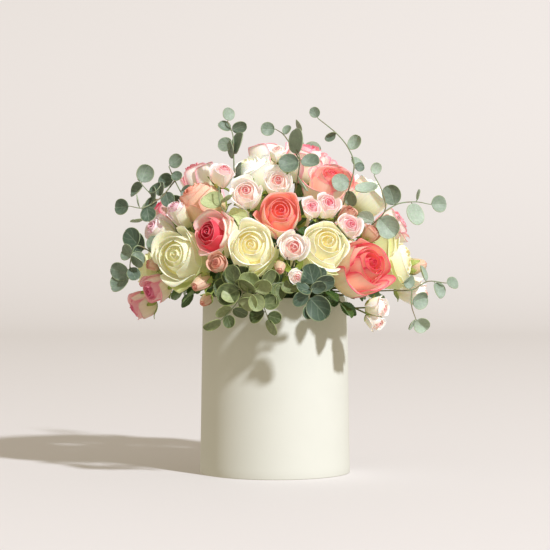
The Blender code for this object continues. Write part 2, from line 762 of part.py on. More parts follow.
def blade(name, outline, middle, collection):
    """A thin leaf: a fan round its middle, thickened both ways by Solidify."""
    count = len(outline)
    faces = [(k, (k + 1) % count, count) for k in range(count)]
    mesh = bpy.data.meshes.new(name)
    mesh.from_pydata([*map(tuple, outline), tuple(middle)], [], faces)
    leaf = put(name, mesh, collection)
    wall = leaf.modifiers.new("thickness", "SOLIDIFY")
    wall.thickness = LEAF_THICKNESS
    wall.offset = 0
    return leaf


def outer_shell_only(mesh):
    """Drop sealed hollows and loose scraps, keeping the one outer body."""
    shape = bmesh.new()
    shape.from_mesh(mesh)
    shape.faces.ensure_lookup_table()
    unseen = set(shape.faces)
    islands = []
    while unseen:
        island = [unseen.pop()]
        for face in island:
            for edge in face.edges:
                for other in edge.link_faces:
                    if other in unseen:
                        unseen.remove(other)
                        island.append(other)
        islands.append(island)
    islands.sort(key=lambda island: -sum(face.calc_area() for face in island))
    spare = [face for island in islands[1:] for face in island]
    bmesh.ops.delete(shape, geom=spare, context="FACES")
    loose = [vert for vert in shape.verts if not vert.link_faces]
    bmesh.ops.delete(shape, geom=loose, context="VERTS")
    bmesh.ops.dissolve_limit(shape, angle_limit=FLAT_ANGLE, verts=shape.verts, edges=shape.edges)
    bmesh.ops.triangulate(shape, faces=shape.faces)
    shape.to_mesh(mesh)
    shape.free()


def join_all(trunk, members, finish):
    """One Boolean union of a trunk and a collection, applied; the members are then removed."""
    union = trunk.modifiers.new("union", "BOOLEAN")
    union.operation = "UNION"
    union.operand_type = "COLLECTION"
    union.collection = members
    union.solver = "EXACT"
    mesh = evaluated_mesh(trunk)
    trunk.modifiers.clear()
    outer_shell_only(mesh)
    mesh.materials.clear()
    mesh.materials.append(finish_material(finish))
    trunk.data = mesh
    for member in list(members.objects):
        bpy.data.objects.remove(member)
    bpy.data.collections.remove(members)
    return trunk


def new_members(name):
    """A collection that holds what a node is joined from."""
    members = bpy.data.collections.new(f"{name} members")
    bpy.context.scene.collection.children.link(members)
    return members


def keep_off_heads(points, hulls, margin):
    """Push points straight out of every head that they would touch."""
    points = points.copy()
    for _ in range(8):
        for centre, corners in hulls:
            away = points - centre
            distance = np.linalg.norm(away, axis=1)
            heading = away / distance[:, None]
            support = ((corners - centre) @ heading.T).max(axis=0) + margin
            short = np.maximum(support - distance, 0)
            points += heading * short[:, None]
    return points


def keep_off_stems(points, stems, node, margin):
    """Push points away from the stems of other nodes."""
    points = points.copy()
    for stem in stems:
        if stem.node == node:
            continue
        for start, end in zip(stem.points[:-1], stem.points[1:]):
            along = end - start
            share = np.clip((points - start) @ along / (along @ along), 0, 1)
            away = points - start - share[:, None] * along
            distance = np.linalg.norm(away, axis=1)
            short = np.maximum(stem.radius + margin - distance, 0)
            points += away / np.maximum(distance, 1e-6)[:, None] * short[:, None]
    return points


def settle(points, node, hulls, stems):
    """Bend a leaf's points, all but its root, clear of heads, stems and the box."""
    points = points.copy()
    for _ in range(3):
        points[1:] = keep_off_heads(points[1:], hulls, LEAF_MARGIN)
        points[1:] = keep_off_stems(points[1:], stems, node, LEAF_MARGIN)
        points[1:] = keep_off_box(points[1:], LEAF_MARGIN)
    return points


def keep_off_box(points, margin):
    """Push points that hang beside the box out of its wall."""
    points = points.copy()
    from_axis = np.linalg.norm(points[:, :2], axis=1)
    share = np.clip(points[:, 2] / BOX_HEIGHT, 0, 1)
    wall = box_radius(share * BOX_HEIGHT) + margin
    beside = (points[:, 2] < BOX_HEIGHT + margin) & (from_axis < wall)
    scale = np.where(beside, wall / np.maximum(from_axis, 1e-6), 1)
    points[:, :2] *= scale[:, None]
    return points


def turned(name, profile, sides, collection, finish):
    """A solid turned from a profile that runs down its outer side and back inside to the axis."""
    mesh = bpy.data.meshes.new(name)
    points = [(radius, 0, height) for radius, height in profile]
    mesh.from_pydata(points, [(k, k + 1) for k in range(len(points) - 1)], [])
    shape = put(name, mesh, collection, finish)
    screw = shape.modifiers.new("turn", "SCREW")
    screw.steps = sides
    screw.render_steps = sides
    screw.use_merge_vertices = True
    screw.merge_threshold = 0.00001
    screw.use_smooth_shade = False
    return shape


def build_box(collection):
    """The card tube with its floor, open at the top, with a softened rim and foot."""
    rim = BOX_RIM_DIAMETER / 2
    inner_foot = box_radius(BOX_FLOOR) - BOX_WALL
    profile = [
        (rim - BOX_EDGE, BOX_HEIGHT),
        (rim, BOX_HEIGHT - BOX_EDGE),
        (box_radius(BOX_EDGE), BOX_EDGE),
        (box_radius(0) - BOX_EDGE, 0),
        (0, 0),
        (0, BOX_FLOOR),
        (inner_foot, BOX_FLOOR),
        (rim - BOX_WALL, BOX_HEIGHT),
    ]
    profile.append(profile[0])
    return turned("box", profile, BOX_SIDES, collection, "card")


def liner_radius(height):
    """Outer radius of the liner at a height."""
    return box_radius(height) - BOX_WALL - FIT_GAP


def build_liner(collection):
    """The plastic tub inside the box."""
    top = BOX_HEIGHT - LINER_BELOW_RIM
    bottom = BOX_FLOOR + FIT_GAP
    floor = bottom + LINER_WALL
    profile = [
        (liner_radius(top) - LINER_WALL, top),
        (liner_radius(top), top),
        (liner_radius(bottom), bottom),
        (0, bottom),
        (0, floor),
        (liner_radius(floor) - LINER_WALL, floor),
    ]
    profile.append(profile[0])
    return turned("liner", profile, BOX_SIDES, collection, "liner")


def foam_radius(height):
    """Outer radius of the foam at a height, clear of the liner's flat facets."""
    return (liner_radius(height) - LINER_WALL) * math.cos(math.pi / BOX_SIDES) - FIT_GAP


def build_foam(collection, stems):
    """The foam block with a plain hole for every stem that stands in it."""
    bottom = BOX_FLOOR + 2 * FIT_GAP + LINER_WALL
    shoulder = foam_height(FOAM_SHOULDER_RADIUS)
    profile = [
        (0, foam_height(0)),
        (FOAM_MIDDLE_RADIUS, foam_height(FOAM_MIDDLE_RADIUS)),
        (FOAM_SHOULDER_RADIUS, shoulder),
        (foam_radius(shoulder), shoulder - FOAM_EDGE_DROP),
        (foam_radius(bottom), bottom),
        (0, bottom),
    ]
    foam = turned("foam", profile, FOAM_SIDES, collection, "foam")
    cutters = new_members("foam holes")
    for index, stem in enumerate(stems):
        radius = stem.radius + HOLE_CLEARANCE
        heading = unit(stem.points[1] - stem.points[0])
        start = stem.points[0] - heading * HOLE_CLEARANCE
        end = stem.points[1] + heading * HOLE_OVERSHOOT
        hole = tube(f"hole {index}", [start, end], [radius] * 2, cutters)
        hole.hide_render = True
        hole.display_type = "WIRE"
    cut = foam.modifiers.new("holes", "BOOLEAN")
    cut.operation = "DIFFERENCE"
    cut.operand_type = "COLLECTION"
    cut.collection = cutters
    cut.solver = "MANIFOLD"
    mesh = evaluated_mesh(foam)
    foam.modifiers.clear()
    outer_shell_only(mesh)
    foam.data = mesh
    for hole in list(cutters.objects):
        bpy.data.objects.remove(hole)
    bpy.data.collections.remove(cutters)
    return foam


def build_spray(node, heads, stems, collection, hulls):
    """A spray rose: its stem, its pedicels and its small heads, grown as one piece."""
    own = [stem for stem in stems if stem.node == node]
    trunk = tube(node, own[0].points, [own[0].radius] * len(own[0].points), collection)
    members = new_members(node)
    for stem in own[1:]:
        radii = [stem.radius] * (len(stem.points) - 1) + [stem.radius * 2]
        tube("pedicel", stem.points, radii, members)
    for head in heads:
        mesh, points = head_mesh(head, False)
        put("head", mesh, members)
        hulls.append((head.middle, points))
    return join_all(trunk, members, heads[0].colour)


def round_leaf(attach, along, face, diameter):
    """Outline and middle of a cupped round leaf that starts on its twig."""
    face = unit(face - along * (face @ along))
    across = np.cross(face, along)
    theta = 2 * math.pi * np.arange(LEAF_CORNERS) / LEAF_CORNERS
    length = diameter / 2 * (1 - np.cos(theta)) * 1.02
    width = diameter / 2 * np.sin(theta)
    centre = attach + along * diameter / 2 - face * LEAF_CUP * diameter
    outline = attach + length[:, None] * along + width[:, None] * across
    return outline, centre


def branch_point(points, share):
    """Point and heading at a share of a polyline's length."""
    steps = np.linalg.norm(np.diff(points, axis=0), axis=1)
    run = np.concatenate([[0], np.cumsum(steps)])
    want = share * run[-1]
    index = min(int(np.searchsorted(run, want, side="right")) - 1, len(steps) - 1)
    index = max(index, 0)
    part = (want - run[index]) / steps[index]
    heading = unit(points[index + 1] - points[index])
    return points[index] + (points[index + 1] - points[index]) * part, heading


def build_sprig(sprig, stems, collection, hulls, rng):
    """A eucalyptus stem with its round leaves, grown as one piece."""
    own = [stem for stem in stems if stem.node == sprig.name]
    trunk = tube(sprig.name, own[0].points, [own[0].radius] * len(own[0].points), collection)
    members = new_members(sprig.name)
    look = direction(sprig.look_azimuth, sprig.look_elevation)
    right = unit(np.cross(np.array([0.0, 0.0, 1.0]), look))
    up = np.cross(look, right)
    for stem, branch in zip(own, sprig.branches):
        if stem is not own[0]:
            tube("twig", stem.points, [stem.radius * TWIG_THICKNESS_SHARE] * len(stem.points), members)
        outer = stem.points[-len(branch.route):]
        for share, diameter, angle in branch.leaves:
            attach, _ = branch_point(outer, share)
            turn = math.radians(angle)
            lean = rng.uniform(*LEAF_LEAN)
            along = unit(right * math.cos(turn) + up * math.sin(turn) + look * lean)
            tilt = rng.uniform(-LEAF_TILT, LEAF_TILT, 2)
            face = unit(look + right * tilt[0] + up * tilt[1])
            outline, centre = round_leaf(attach, along, face, diameter * MM)
            points = np.vstack([outline, [centre]])
            points = settle(points, sprig.name, hulls, stems)
            blade("leaf", points[:-1], points[-1], members)
    return join_all(trunk, members, "eucalyptus")


def leaflet(root, tip, face):
    """One rose leaflet with a saw-toothed edge, folded a little along its midrib."""
    along = tip - root
    length = np.linalg.norm(along)
    along = along / length
    face = unit(face - along * (face @ along))
    across = np.cross(face, along)
    side = []
    for k, t in enumerate(np.linspace(0.12, 0.90, 2 * TEETH)):
        swell = math.sin(math.pi * (0.04 + 0.92 * t)) ** 0.8
        if k % 2:
            side.append((t - TOOTH_HOOK, swell))
        else:
            side.append((t, swell * TOOTH_NOTCH))
    shape = [(0, 0)] + side + [(1, 0)] + [(t, -w) for t, w in reversed(side)]
    outline = []
    for t, w in shape:
        width = across * w * LEAFLET_WIDTH_SHARE * length / 2
        fold = face * abs(w) * LEAFLET_FOLD * length
        outline.append(root + along * t * length + width + fold)
    return np.array(outline), root + along * 0.5 * length


def add_rose_leaf(stem, tip, length, count, members, hulls, stems):
    """A rose leaf: a petiole from the stem and its saw-toothed leaflets."""
    tip = np.array(tip, dtype=float) * MM
    start, _ = branch_point(stem.points[1:], PETIOLE_START_SHARE)
    outward = unit(tip - DOME_CENTRE)
    heading = unit(tip - start)
    joint = tip - unit(heading + outward * 0.2) * length * MM
    run = hermite(start, outward * 0.04, joint, heading * 0.03, PETIOLE_STEPS)
    run = ease_past_heads(run, 1, len(run) - 1, PEDICEL_RADIUS, [stem.tip_bloom])
    run = over_the_rim(run, PEDICEL_RADIUS)
    tube("petiole", run, [PEDICEL_RADIUS] * len(run), members)
    joint = run[-1]
    ends = [tip]
    if count == 3:
        sideways = unit(np.cross(outward, heading))
        reach = length * MM * SIDE_LEAFLET_SHARE
        for side in (1, -1):
            ends.append(joint + (heading * SIDE_LEAFLET_ADVANCE + sideways * side) * reach)
    for end in ends:
        outline, middle = leaflet(joint, end, outward)
        points = np.vstack([outline, [middle]])
        points = settle(points, stem.node, hulls, stems)
        blade("leaflet", points[:-1], points[-1], members)


def build_greens(node, stems, collection, hulls):
    """Stems, hips and leaves of the large roses in one sector of the dome, grown together."""
    own = [stem for stem in stems if stem.node == node]
    roses = {rose.name: rose for rose in ROSES}
    members = new_members(node)
    trunk = None
    for stem in own:
        rose = roses[stem.tip_bloom]
        hip_start = stem.points[-1] - rose.axis * HIP_LENGTH
        points = np.vstack([stem.points[:-1], [hip_start, stem.points[-1]]])
        radii = [stem.radius] * (len(points) - 2) + [HIP_RADIUS * 0.75, HIP_RADIUS]
        home = collection if trunk is None else members
        built = tube(node if trunk is None else "stem", points, radii, home)
        trunk = trunk or built
        for owner, tip, length, count in ROSE_LEAVES:
            if owner == rose.name:
                add_rose_leaf(stem, tip, length, count, members, hulls, stems)
    return join_all(trunk, members, "green")


def main():
    """Plan every stem, settle the room of each head, then build the nodes."""
    for old in list(bpy.data.objects):
        bpy.data.objects.remove(old)
    model = bpy.data.collections.new("rose_box")
    bpy.context.scene.collection.children.link(model)
    rng = np.random.default_rng(LEAN_SEED)

    bundled = rose_stems()
    sprays = [spray_stems(node, heads) for node, heads in SPRAYS.items()]
    sprigs = [sprig_stems(sprig) for sprig in SPRIGS]
    stems = bundled + [stem for group in sprays + sprigs for stem in group]
    add_head_planes(stems)

    build_box(model)
    build_liner(model)
    standing = bundled + [group[0] for group in sprays + sprigs]
    build_foam(model, standing)
    hulls = []
    for rose in ROSES:
        mesh, points = head_mesh(rose, True)
        put(rose.name, mesh, model, rose.colour)
        hulls.append((rose.middle, points))
    for node, heads in SPRAYS.items():
        build_spray(node, heads, stems, model, hulls)
    for node in GREEN_SECTORS:
        build_greens(node, stems, model, hulls)
    for sprig in SPRIGS:
        build_sprig(sprig, stems, model, hulls, rng)


main()
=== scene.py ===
"""Rose box, dressed: petals, sepals, leaves, stems, hat box, foam and studio light.

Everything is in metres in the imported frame: +Z up, the origin at the centre of the box's
foot, the richest blooms towards -Y. Azimuths run from -Y towards +X. A head has a frame of
its own, with its base at zero and its axis along z.
"""
from __future__ import annotations

import logging
import math
from dataclasses import dataclass, field
from enum import Enum

import bpy
import numpy as np
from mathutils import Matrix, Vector

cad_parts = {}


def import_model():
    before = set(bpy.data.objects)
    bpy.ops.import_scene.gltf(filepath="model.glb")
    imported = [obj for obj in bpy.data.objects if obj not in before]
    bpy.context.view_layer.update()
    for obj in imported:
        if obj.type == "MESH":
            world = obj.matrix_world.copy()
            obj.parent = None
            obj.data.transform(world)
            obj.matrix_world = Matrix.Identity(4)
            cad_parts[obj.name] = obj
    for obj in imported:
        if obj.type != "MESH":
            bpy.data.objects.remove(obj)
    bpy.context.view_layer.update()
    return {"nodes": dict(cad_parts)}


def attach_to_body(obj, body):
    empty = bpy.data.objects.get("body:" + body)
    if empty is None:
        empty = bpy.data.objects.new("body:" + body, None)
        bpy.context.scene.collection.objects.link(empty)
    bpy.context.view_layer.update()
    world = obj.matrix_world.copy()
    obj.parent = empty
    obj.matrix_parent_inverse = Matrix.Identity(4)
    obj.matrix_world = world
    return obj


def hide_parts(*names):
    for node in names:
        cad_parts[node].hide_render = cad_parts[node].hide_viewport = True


Array = np.ndarray
Socket = bpy.types.NodeSocket
LOG = logging.getLogger("rose_box")

MM = 0.001

# Box and foam, as the frame has them.
BOX_FOOT_RADIUS = 0.0900
BOX_RIM_RADIUS = 0.0865
BOX_HEIGHT = 0.213
BOX_WALL = 0.0025
FOAM_SHOULDER_BELOW_RIM = 0.009
FOAM_CROWN_ABOVE_RIM = 0.026
FOAM_SHOULDER_RADIUS = 0.077

# Heads are placed by their direction and reach from this centre.
DOME_CENTRE = np.array([0.0, 0.0, 0.215])
BASE_SHARE = 0.85
MIDDLE_SHARE = 0.55

# Stems: their thickness and how they stand in the foam.
ROSE_STEM_RADIUS = 0.0022
HIP_RADIUS = 0.0042
HIP_LENGTH = 0.007
SPRAY_STEM_RADIUS = 0.0015
PEDICEL_RADIUS = 0.0010
SPRIG_STEM_RADIUS = 0.0011
ROOT_DEPTH = 0.026
ROOT_AIM_HEIGHT = 0.100
ROOT_UPRIGHT_PULL = 0.6
OUTER_ENTRY_RADIUS = 0.064
INNER_ENTRY_RADIUS = 0.012
STEEPEST_ELEVATION = 85
ENTRY_POWER = 1.1
FORK_DEPTH = 0.020
TIP_SINK_SHARE = 0.12
CALYX_GAP = 0.0003
CALYX_SINK = 0.0004
TWIG_THICKNESS_SHARE = 0.8
BUNDLE_FOOT_HEIGHT = 0.112
BUNDLE_FOOT_RADIUS = 0.024
FOOT_STEP = 0.09
HEAD_PULL = 0.9
FORK_PULL = 0.6
ROOT_PULL = 0.8
RUN_STEPS = 3
EASE_ROUNDS = 80
EASE_PUSH = 0.35
EASE_SMOOTHING = 0.15
EASE_ROOM = 0.98
RIM_ZONE = (0.068, 0.096)
RIM_AIR = 0.003
CLEARANCE = 0.0009

# How a crowded head gives way to its neighbours.
SOFT_SHARE = 0.72
NEIGHBOUR_REACH = 0.030
STEM_REACH = 0.010
STEM_REACH_SHARE = 1.3
LEAF_MARGIN = 0.0012
HEAD_THINNING = 7
PETAL_THINNING = 2

PETAL_THICKNESS = 0.00045
LEAF_THICKNESS = 0.0006
STEM_TONE = (0.5, 0.0, 0.5)
SHARP_ANGLE = 50.0
SEED = 7

# Layer value that marks a guard petal, and how far sepals keep off the petals.
GUARD_LAYER = 1.1
SEPAL_AIR = 0.0005
# Cosine of the angle within which petals count as lying in the same heading.
SAME_HEADING = 0.985


def direction(azimuth: float, elevation: float) -> Array:
    """Unit vector of an azimuth from -Y towards +X and an elevation.

    Args:
        azimuth: Degrees from -Y towards +X.
        elevation: Degrees above the horizon.

    Returns:
        The unit vector.
    """
    a = math.radians(azimuth)
    e = math.radians(elevation)
    return np.array([math.sin(a) * math.cos(e), -math.cos(a) * math.cos(e), math.sin(e)])


def unit(vectors: Array) -> Array:
    """The vectors of the last axis at length one."""
    return vectors / np.maximum(np.linalg.norm(vectors, axis=-1, keepdims=True), 1e-12)


def across_frame(axis: Array, roll: float = 0.0) -> tuple[Array, Array]:
    """Two unit vectors across an axis.

    Args:
        axis: Unit vector.
        roll: Turn about the axis in degrees.

    Returns:
        The two vectors, which make a right-handed frame with the axis.
    """
    guide = np.array([0.0, 1.0, 0.0]) if abs(axis[2]) > 0.95 else np.array([0.0, 0.0, 1.0])
    side = unit(np.cross(guide, axis))
    lift = np.cross(axis, side)
    turn = math.radians(roll)
    across = side * math.cos(turn) + lift * math.sin(turn)
    return across, np.cross(axis, across)


def smooth_rise(value: Array, start: float, end: float) -> Array:
    """Zero up to start, one from end on, and 3t^2 - 2t^3 of the share between them."""
    share = np.clip((value - start) / (end - start), 0, 1)
    return share * share * (3 - 2 * share)


def cubic(points: tuple, t: Array) -> tuple[Array, Array]:
    """A cubic Bezier curve and its slope, by the Bernstein weights of t.

    Args:
        points: Four control points of any dimension.
        t: Shares of the curve.

    Returns:
        The points on the curve, and the slopes there.
    """
    a, b, c, d = (np.asarray(point, dtype=float) for point in points)
    t = t[..., None]
    place = (1 - t) ** 3 * a + 3 * (1 - t) ** 2 * t * b + 3 * (1 - t) * t**2 * c + t**3 * d
    slope = 3 * (1 - t) ** 2 * (b - a) + 6 * (1 - t) * t * (c - b) + 3 * t**2 * (d - c)
    return place, slope


def hermite(start: Array, start_pull: Array, end: Array, end_pull: Array, steps: int) -> Array:
    """Points of a smooth curve that leaves and arrives along two pulls.

    Args:
        start: First point.
        start_pull: Slope at the first point.
        end: Last point.
        end_pull: Slope at the last point.
        steps: Number of stretches.

    Returns:
        steps + 1 points.
    """
    t = np.linspace(0, 1, steps + 1)[:, None]
    return ((2 * t**3 - 3 * t**2 + 1) * start + (t**3 - 2 * t**2 + t) * start_pull
            + (3 * t**2 - 2 * t**3) * end + (t**3 - t**2) * end_pull)


def smooth_route(points: Array, steps: int = 5) -> Array:
    """A Catmull-Rom curve through the points: each stretch takes its pulls from its neighbours.

    Args:
        points: Route points, (n, 3).
        steps: New stretches for each old one.

    Returns:
        The finer route, which starts and ends where the old one does.
    """
    if len(points) < 3:
        return np.linspace(points[0], points[-1], steps + 1)
    padded = np.vstack([2 * points[0] - points[1], points, 2 * points[-1] - points[-2]])
    pulls = (padded[2:] - padded[:-2]) / 2
    runs = [hermite(points[k], pulls[k], points[k + 1], pulls[k + 1], steps)[:-1]
            for k in range(len(points) - 1)]
    return np.vstack([*runs, points[-1:]])


def route_point(points: Array, share: float) -> tuple[Array, Array]:
    """Point and heading at a share of a route's length.

    Args:
        points: Route points.
        share: From 0 at the start to 1 at the end.

    Returns:
        The point and the unit heading there.
    """
    steps = np.linalg.norm(np.diff(points, axis=0), axis=1)
    run = np.concatenate([[0], np.cumsum(steps)])
    want = share * run[-1]
    index = int(np.clip(np.searchsorted(run, want, side="right") - 1, 0, len(steps) - 1))
    part = (want - run[index]) / steps[index]
    heading = unit(points[index + 1] - points[index])
    return points[index] + (points[index + 1] - points[index]) * part, heading


def to_linear(code: str) -> tuple[float, float, float, float]:
    """An sRGB hex colour as linear red, green, blue and alpha."""
    values = [int(code[k:k + 2], 16) / 255 for k in (1, 3, 5)]
    linear = [v / 12.92 if v <= 0.04045 else ((v + 0.055) / 1.055) ** 2.4 for v in values]
    return (*linear, 1.0)


def add_node(tree: bpy.types.NodeTree, kind: str, inputs: dict | None = None,
             **settings: object) -> bpy.types.Node:
    """Add a node, set its fields and fill its sockets.

    Args:
        tree: Node tree of a material or a world.
        kind: Node type.
        inputs: Socket name or index to a value or to the output socket that feeds it.
        **settings: Fields of the node.

    Returns:
        The new node.
    """
    node = tree.nodes.new(kind)
    for name, value in settings.items():
        setattr(node, name, value)
    for key, value in (inputs or {}).items():
        if isinstance(value, bpy.types.NodeSocket):
            tree.links.new(value, node.inputs[key])
        else:
            node.inputs[key].default_value = value
    return node


@dataclass
class Draft:
    """A piece being put together: its points, its faces and what its finishes read.

    Every vertex carries two triples. grain holds the place on the blade: across from -1 to 1,
    along from 0 to 1, and nearness to the rim from 0 to 1. tone holds the layer from the heart
    (0) to the outside (1), the side (1 on the reverse), and a chance value of the blade, which on eucalyptus
        leaves is their darkness from age and painted shade.
    """

    points: list[Array] = field(default_factory=list)
    quads: list[Array] = field(default_factory=list)
    caps: list[list[int]] = field(default_factory=list)
    slots: list[Array] = field(default_factory=list)
    cap_slots: list[int] = field(default_factory=list)
    grain: list[Array] = field(default_factory=list)
    tone: list[Array] = field(default_factory=list)
    count: int = 0

    def add(self, points: Array, quads: Array, slot: int, grain: Array, tone: Array) -> None:
        """Add loose points and the quads between them.

        Args:
            points: (n, 3).
            quads: (m, 4) indices into the points.
            slot: Material slot.
            grain: (n, 3).
            tone: (n, 3).
        """
        self.points.append(points)
        self.quads.append(quads + self.count)
        self.slots.append(np.full(len(quads), slot))
        self.grain.append(grain)
        self.tone.append(tone)
        self.count += len(points)

    def sheet(self, grid: Array, thickness: float, slot: int, layer: float, chance: float) -> None:
        """Add a thin closed blade: the grid is set off both ways along its normals.

        Args:
            grid: (rows, columns, 3), rows along the blade and columns across it.
            thickness: Full thickness.
            slot: Material slot.
            layer: Layer value of the whole blade.
            chance: Chance value of the whole blade; on eucalyptus leaves, their darkness from age and painted
                shade.
        """
        rows, columns = grid.shape[:2]
        along = np.gradient(grid, axis=0)
        across = np.gradient(grid, axis=1)
        normal = unit(np.cross(across, along))
        outer = grid + normal * thickness / 2
        inner = grid - normal * thickness / 2
        points = np.concatenate([outer.reshape(-1, 3), inner.reshape(-1, 3)])
        index = np.arange(rows * columns).reshape(rows, columns)
        front = np.stack([index[:-1, :-1], index[:-1, 1:], index[1:, 1:], index[1:, :-1]], -1)
        front = front.reshape(-1, 4)
        back = front[:, ::-1] + rows * columns
        loop = np.concatenate([index[0, :-1], index[:-1, -1], index[-1, :0:-1], index[:0:-1, 0]])
        onward = np.roll(loop, -1)
        rim = np.stack([onward, loop, loop + rows * columns, onward + rows * columns], -1)
        u, v = np.meshgrid(np.linspace(-1, 1, columns), np.linspace(0, 1, rows))
        near = 1 - np.minimum(1 - v, 0.9 * (1 - np.abs(u)))
        grain = np.stack([u, v, near], -1).reshape(-1, 3)
        side = np.repeat([1.0, 0.0], rows * columns)
        tone = np.stack([np.full_like(side, layer), side, np.full_like(side, chance)], -1)
        self.add(points, np.concatenate([front, back, rim]), slot, np.tile(grain, (2, 1)), tone)

    def tube(self, path: Array, radii: Array, sides: int, slot: int) -> None:
        """Add a closed round stem: rings of points stand across the path.

        Args:
            path: (n, 3).
            radii: Radius at each point of the path.
            sides: Points in a ring.
            slot: Material slot.
        """
        heading = unit(np.gradient(path, axis=0))
        side = np.empty_like(path)
        guide = np.array([0.0, 0.0, 1.0]) if abs(heading[0][2]) < 0.9 else np.array([1.0, 0, 0])
        for k in range(len(path)):
            guide = unit(guide - heading[k] * (guide @ heading[k]))
            side[k] = guide
        lift = np.cross(heading, side)
        theta = np.linspace(0, 2 * math.pi, sides, endpoint=False)
        spoke = np.cos(theta)[None, :, None] * side[:, None] + np.sin(theta)[None, :, None] * lift[:, None]
        points = path[:, None] + spoke * np.asarray(radii)[:, None, None]
        index = np.arange(len(path) * sides).reshape(len(path), sides)
        turned = np.roll(index, -1, axis=1)
        quads = np.stack([index[:-1], turned[:-1], turned[1:], index[1:]], -1).reshape(-1, 4)
        self.caps.append((index[0, ::-1] + self.count).tolist())
        self.caps.append((index[-1] + self.count).tolist())
        self.cap_slots += [slot, slot]
        u, v = np.meshgrid(np.linspace(-1, 1, sides), np.linspace(0, 1, len(path)))
        grain = np.stack([u, v, np.zeros_like(u)], -1).reshape(-1, 3)
        tone = np.tile(STEM_TONE, (len(grain), 1))
        self.add(points.reshape(-1, 3), quads, slot, grain, tone)

    def build(self, name: str, finishes: list[bpy.types.Material],
              sharp_angle: float = SHARP_ANGLE) -> bpy.types.Object:
        """Make the object, shaded smooth but for the blades' cut edges.

        Args:
            name: Name of the piece.
            finishes: Material of each slot.
            sharp_angle: Edges whose faces meet at more than this stay sharp, in degrees.

        Returns:
            The object, at the origin, riding on the frame's one body.
        """
        points = np.concatenate(self.points)
        quads = np.concatenate(self.quads)
        mesh = bpy.data.meshes.new(name)
        mesh.from_pydata(points.tolist(), [], quads.tolist() + self.caps)
        for finish in finishes:
            mesh.materials.append(finish)
        slots = np.concatenate([*self.slots, np.array(self.cap_slots, dtype=int)])
        mesh.polygons.foreach_set("material_index", slots.astype(np.int32))
        for label, values in (("grain", self.grain), ("tone", self.tone)):
            layer = mesh.attributes.new(label, "FLOAT_VECTOR", "POINT")
            layer.data.foreach_set("vector", np.concatenate(values).astype(np.float32).ravel())
        mesh.shade_smooth()
        mesh.set_sharp_from_angle(angle=math.radians(sharp_angle))
        mesh.update()
        piece = bpy.data.objects.new(name, mesh)
        bpy.context.scene.collection.objects.link(piece)
        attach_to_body(piece, "root")
        LOG.info("%s: %d points", name, len(points))
        return piece


class Recipe:
    """A material being mixed: short calls for the nodes that its look is made of.

    A colour is a hex code or the socket that carries it.
    """

    def __init__(self, name: str, roughness: float) -> None:
        """Start a material whose one shader has the given roughness."""
        self.material = bpy.data.materials.new(name)
        self.material.use_nodes = True
        self.tree = self.material.node_tree
        self.shader = self.tree.nodes["Principled BSDF"]
        self.set("Roughness", roughness)

    def set(self, socket: str, value: object) -> None:
        """Set a constant on the shader's own socket."""
        self.shader.inputs[socket].default_value = value

    def triple(self, attribute: str) -> list[Socket]:
        """The three values that every vertex carries under a name."""
        source = add_node(self.tree, "ShaderNodeAttribute", attribute_name=attribute)
        return list(add_node(self.tree, "ShaderNodeSeparateXYZ", {0: source.outputs["Vector"]}).outputs)

    def spot(self) -> Socket:
        """The place on the object in metres."""
        return add_node(self.tree, "ShaderNodeTexCoord").outputs["Object"]

    def vector(self, *values: Socket) -> Socket:
        """A vector of up to three values."""
        return add_node(self.tree, "ShaderNodeCombineXYZ", dict(enumerate(values))).outputs[0]

    def math(self, operation: str, *values: Socket | float) -> Socket:
        """The result of a sum."""
        return add_node(self.tree, "ShaderNodeMath", dict(enumerate(values)), operation=operation).outputs[0]

    def noise(self, place: Socket, scale: float, detail: float = 2.0) -> Socket:
        """Soft noise about one half."""
        return add_node(self.tree, "ShaderNodeTexNoise",
                        {"Vector": place, "Scale": scale, "Detail": detail}).outputs[0]

    def ramp(self, value: Socket, start: float, end: float, low: float = 0.0, high: float = 1.0,
             ease: bool = False) -> Socket:
        """A value carried from one span onto another and held at both ends.

        Args:
            value: What is carried.
            start: Value that becomes low.
            end: Value that becomes high.
            low: First end of the new span.
            high: Other end of the new span.
            ease: Whether it sets off and arrives gently.

        Returns:
            The carried value.
        """
        return add_node(self.tree, "ShaderNodeMapRange", {0: value, 1: start, 2: end, 3: low, 4: high},
                        interpolation_type="SMOOTHSTEP" if ease else "LINEAR").outputs[0]

    def blend(self, share: Socket, first: Socket | str, second: Socket | str) -> Socket:
        """The first colour, which goes over to the second as the share grows."""
        ends = [to_linear(colour) if isinstance(colour, str) else colour for colour in (first, second)]
        return add_node(self.tree, "ShaderNodeMix", {0: share, 6: ends[0], 7: ends[1]},
                        data_type="RGBA").outputs[2]

    def scaled(self, colour: Socket | str, value: Socket) -> Socket:
        """A colour whose brightness is scaled by a value."""
        colour = to_linear(colour) if isinstance(colour, str) else colour
        return add_node(self.tree, "ShaderNodeHueSaturation", {"Value": value, "Color": colour}).outputs[0]

    def translucent(self, share: float, radius: tuple, scale: float) -> None:
        """Let light wander under the surface."""
        self.set("Subsurface Weight", share)
        self.set("Subsurface Radius", radius)
        self.set("Subsurface Scale", scale)

    def coloured(self, colour: Socket) -> None:
        """Give the shader its colour."""
        self.tree.links.new(colour, self.shader.inputs["Base Color"])

    def embossed(self, height: Socket, strength: float, depth: float, sunk: bool = False) -> None:
        """Give the shader a fine relief.

        Args:
            height: Height of the relief.
            strength: Its strength.
            depth: Its depth in metres.
            sunk: Whether high values lie deep.
        """
        relief = add_node(self.tree, "ShaderNodeBump",
                          {"Height": height, "Strength": strength, "Distance": depth}, invert=sunk)
        self.tree.links.new(relief.outputs[0], self.shader.inputs["Normal"])


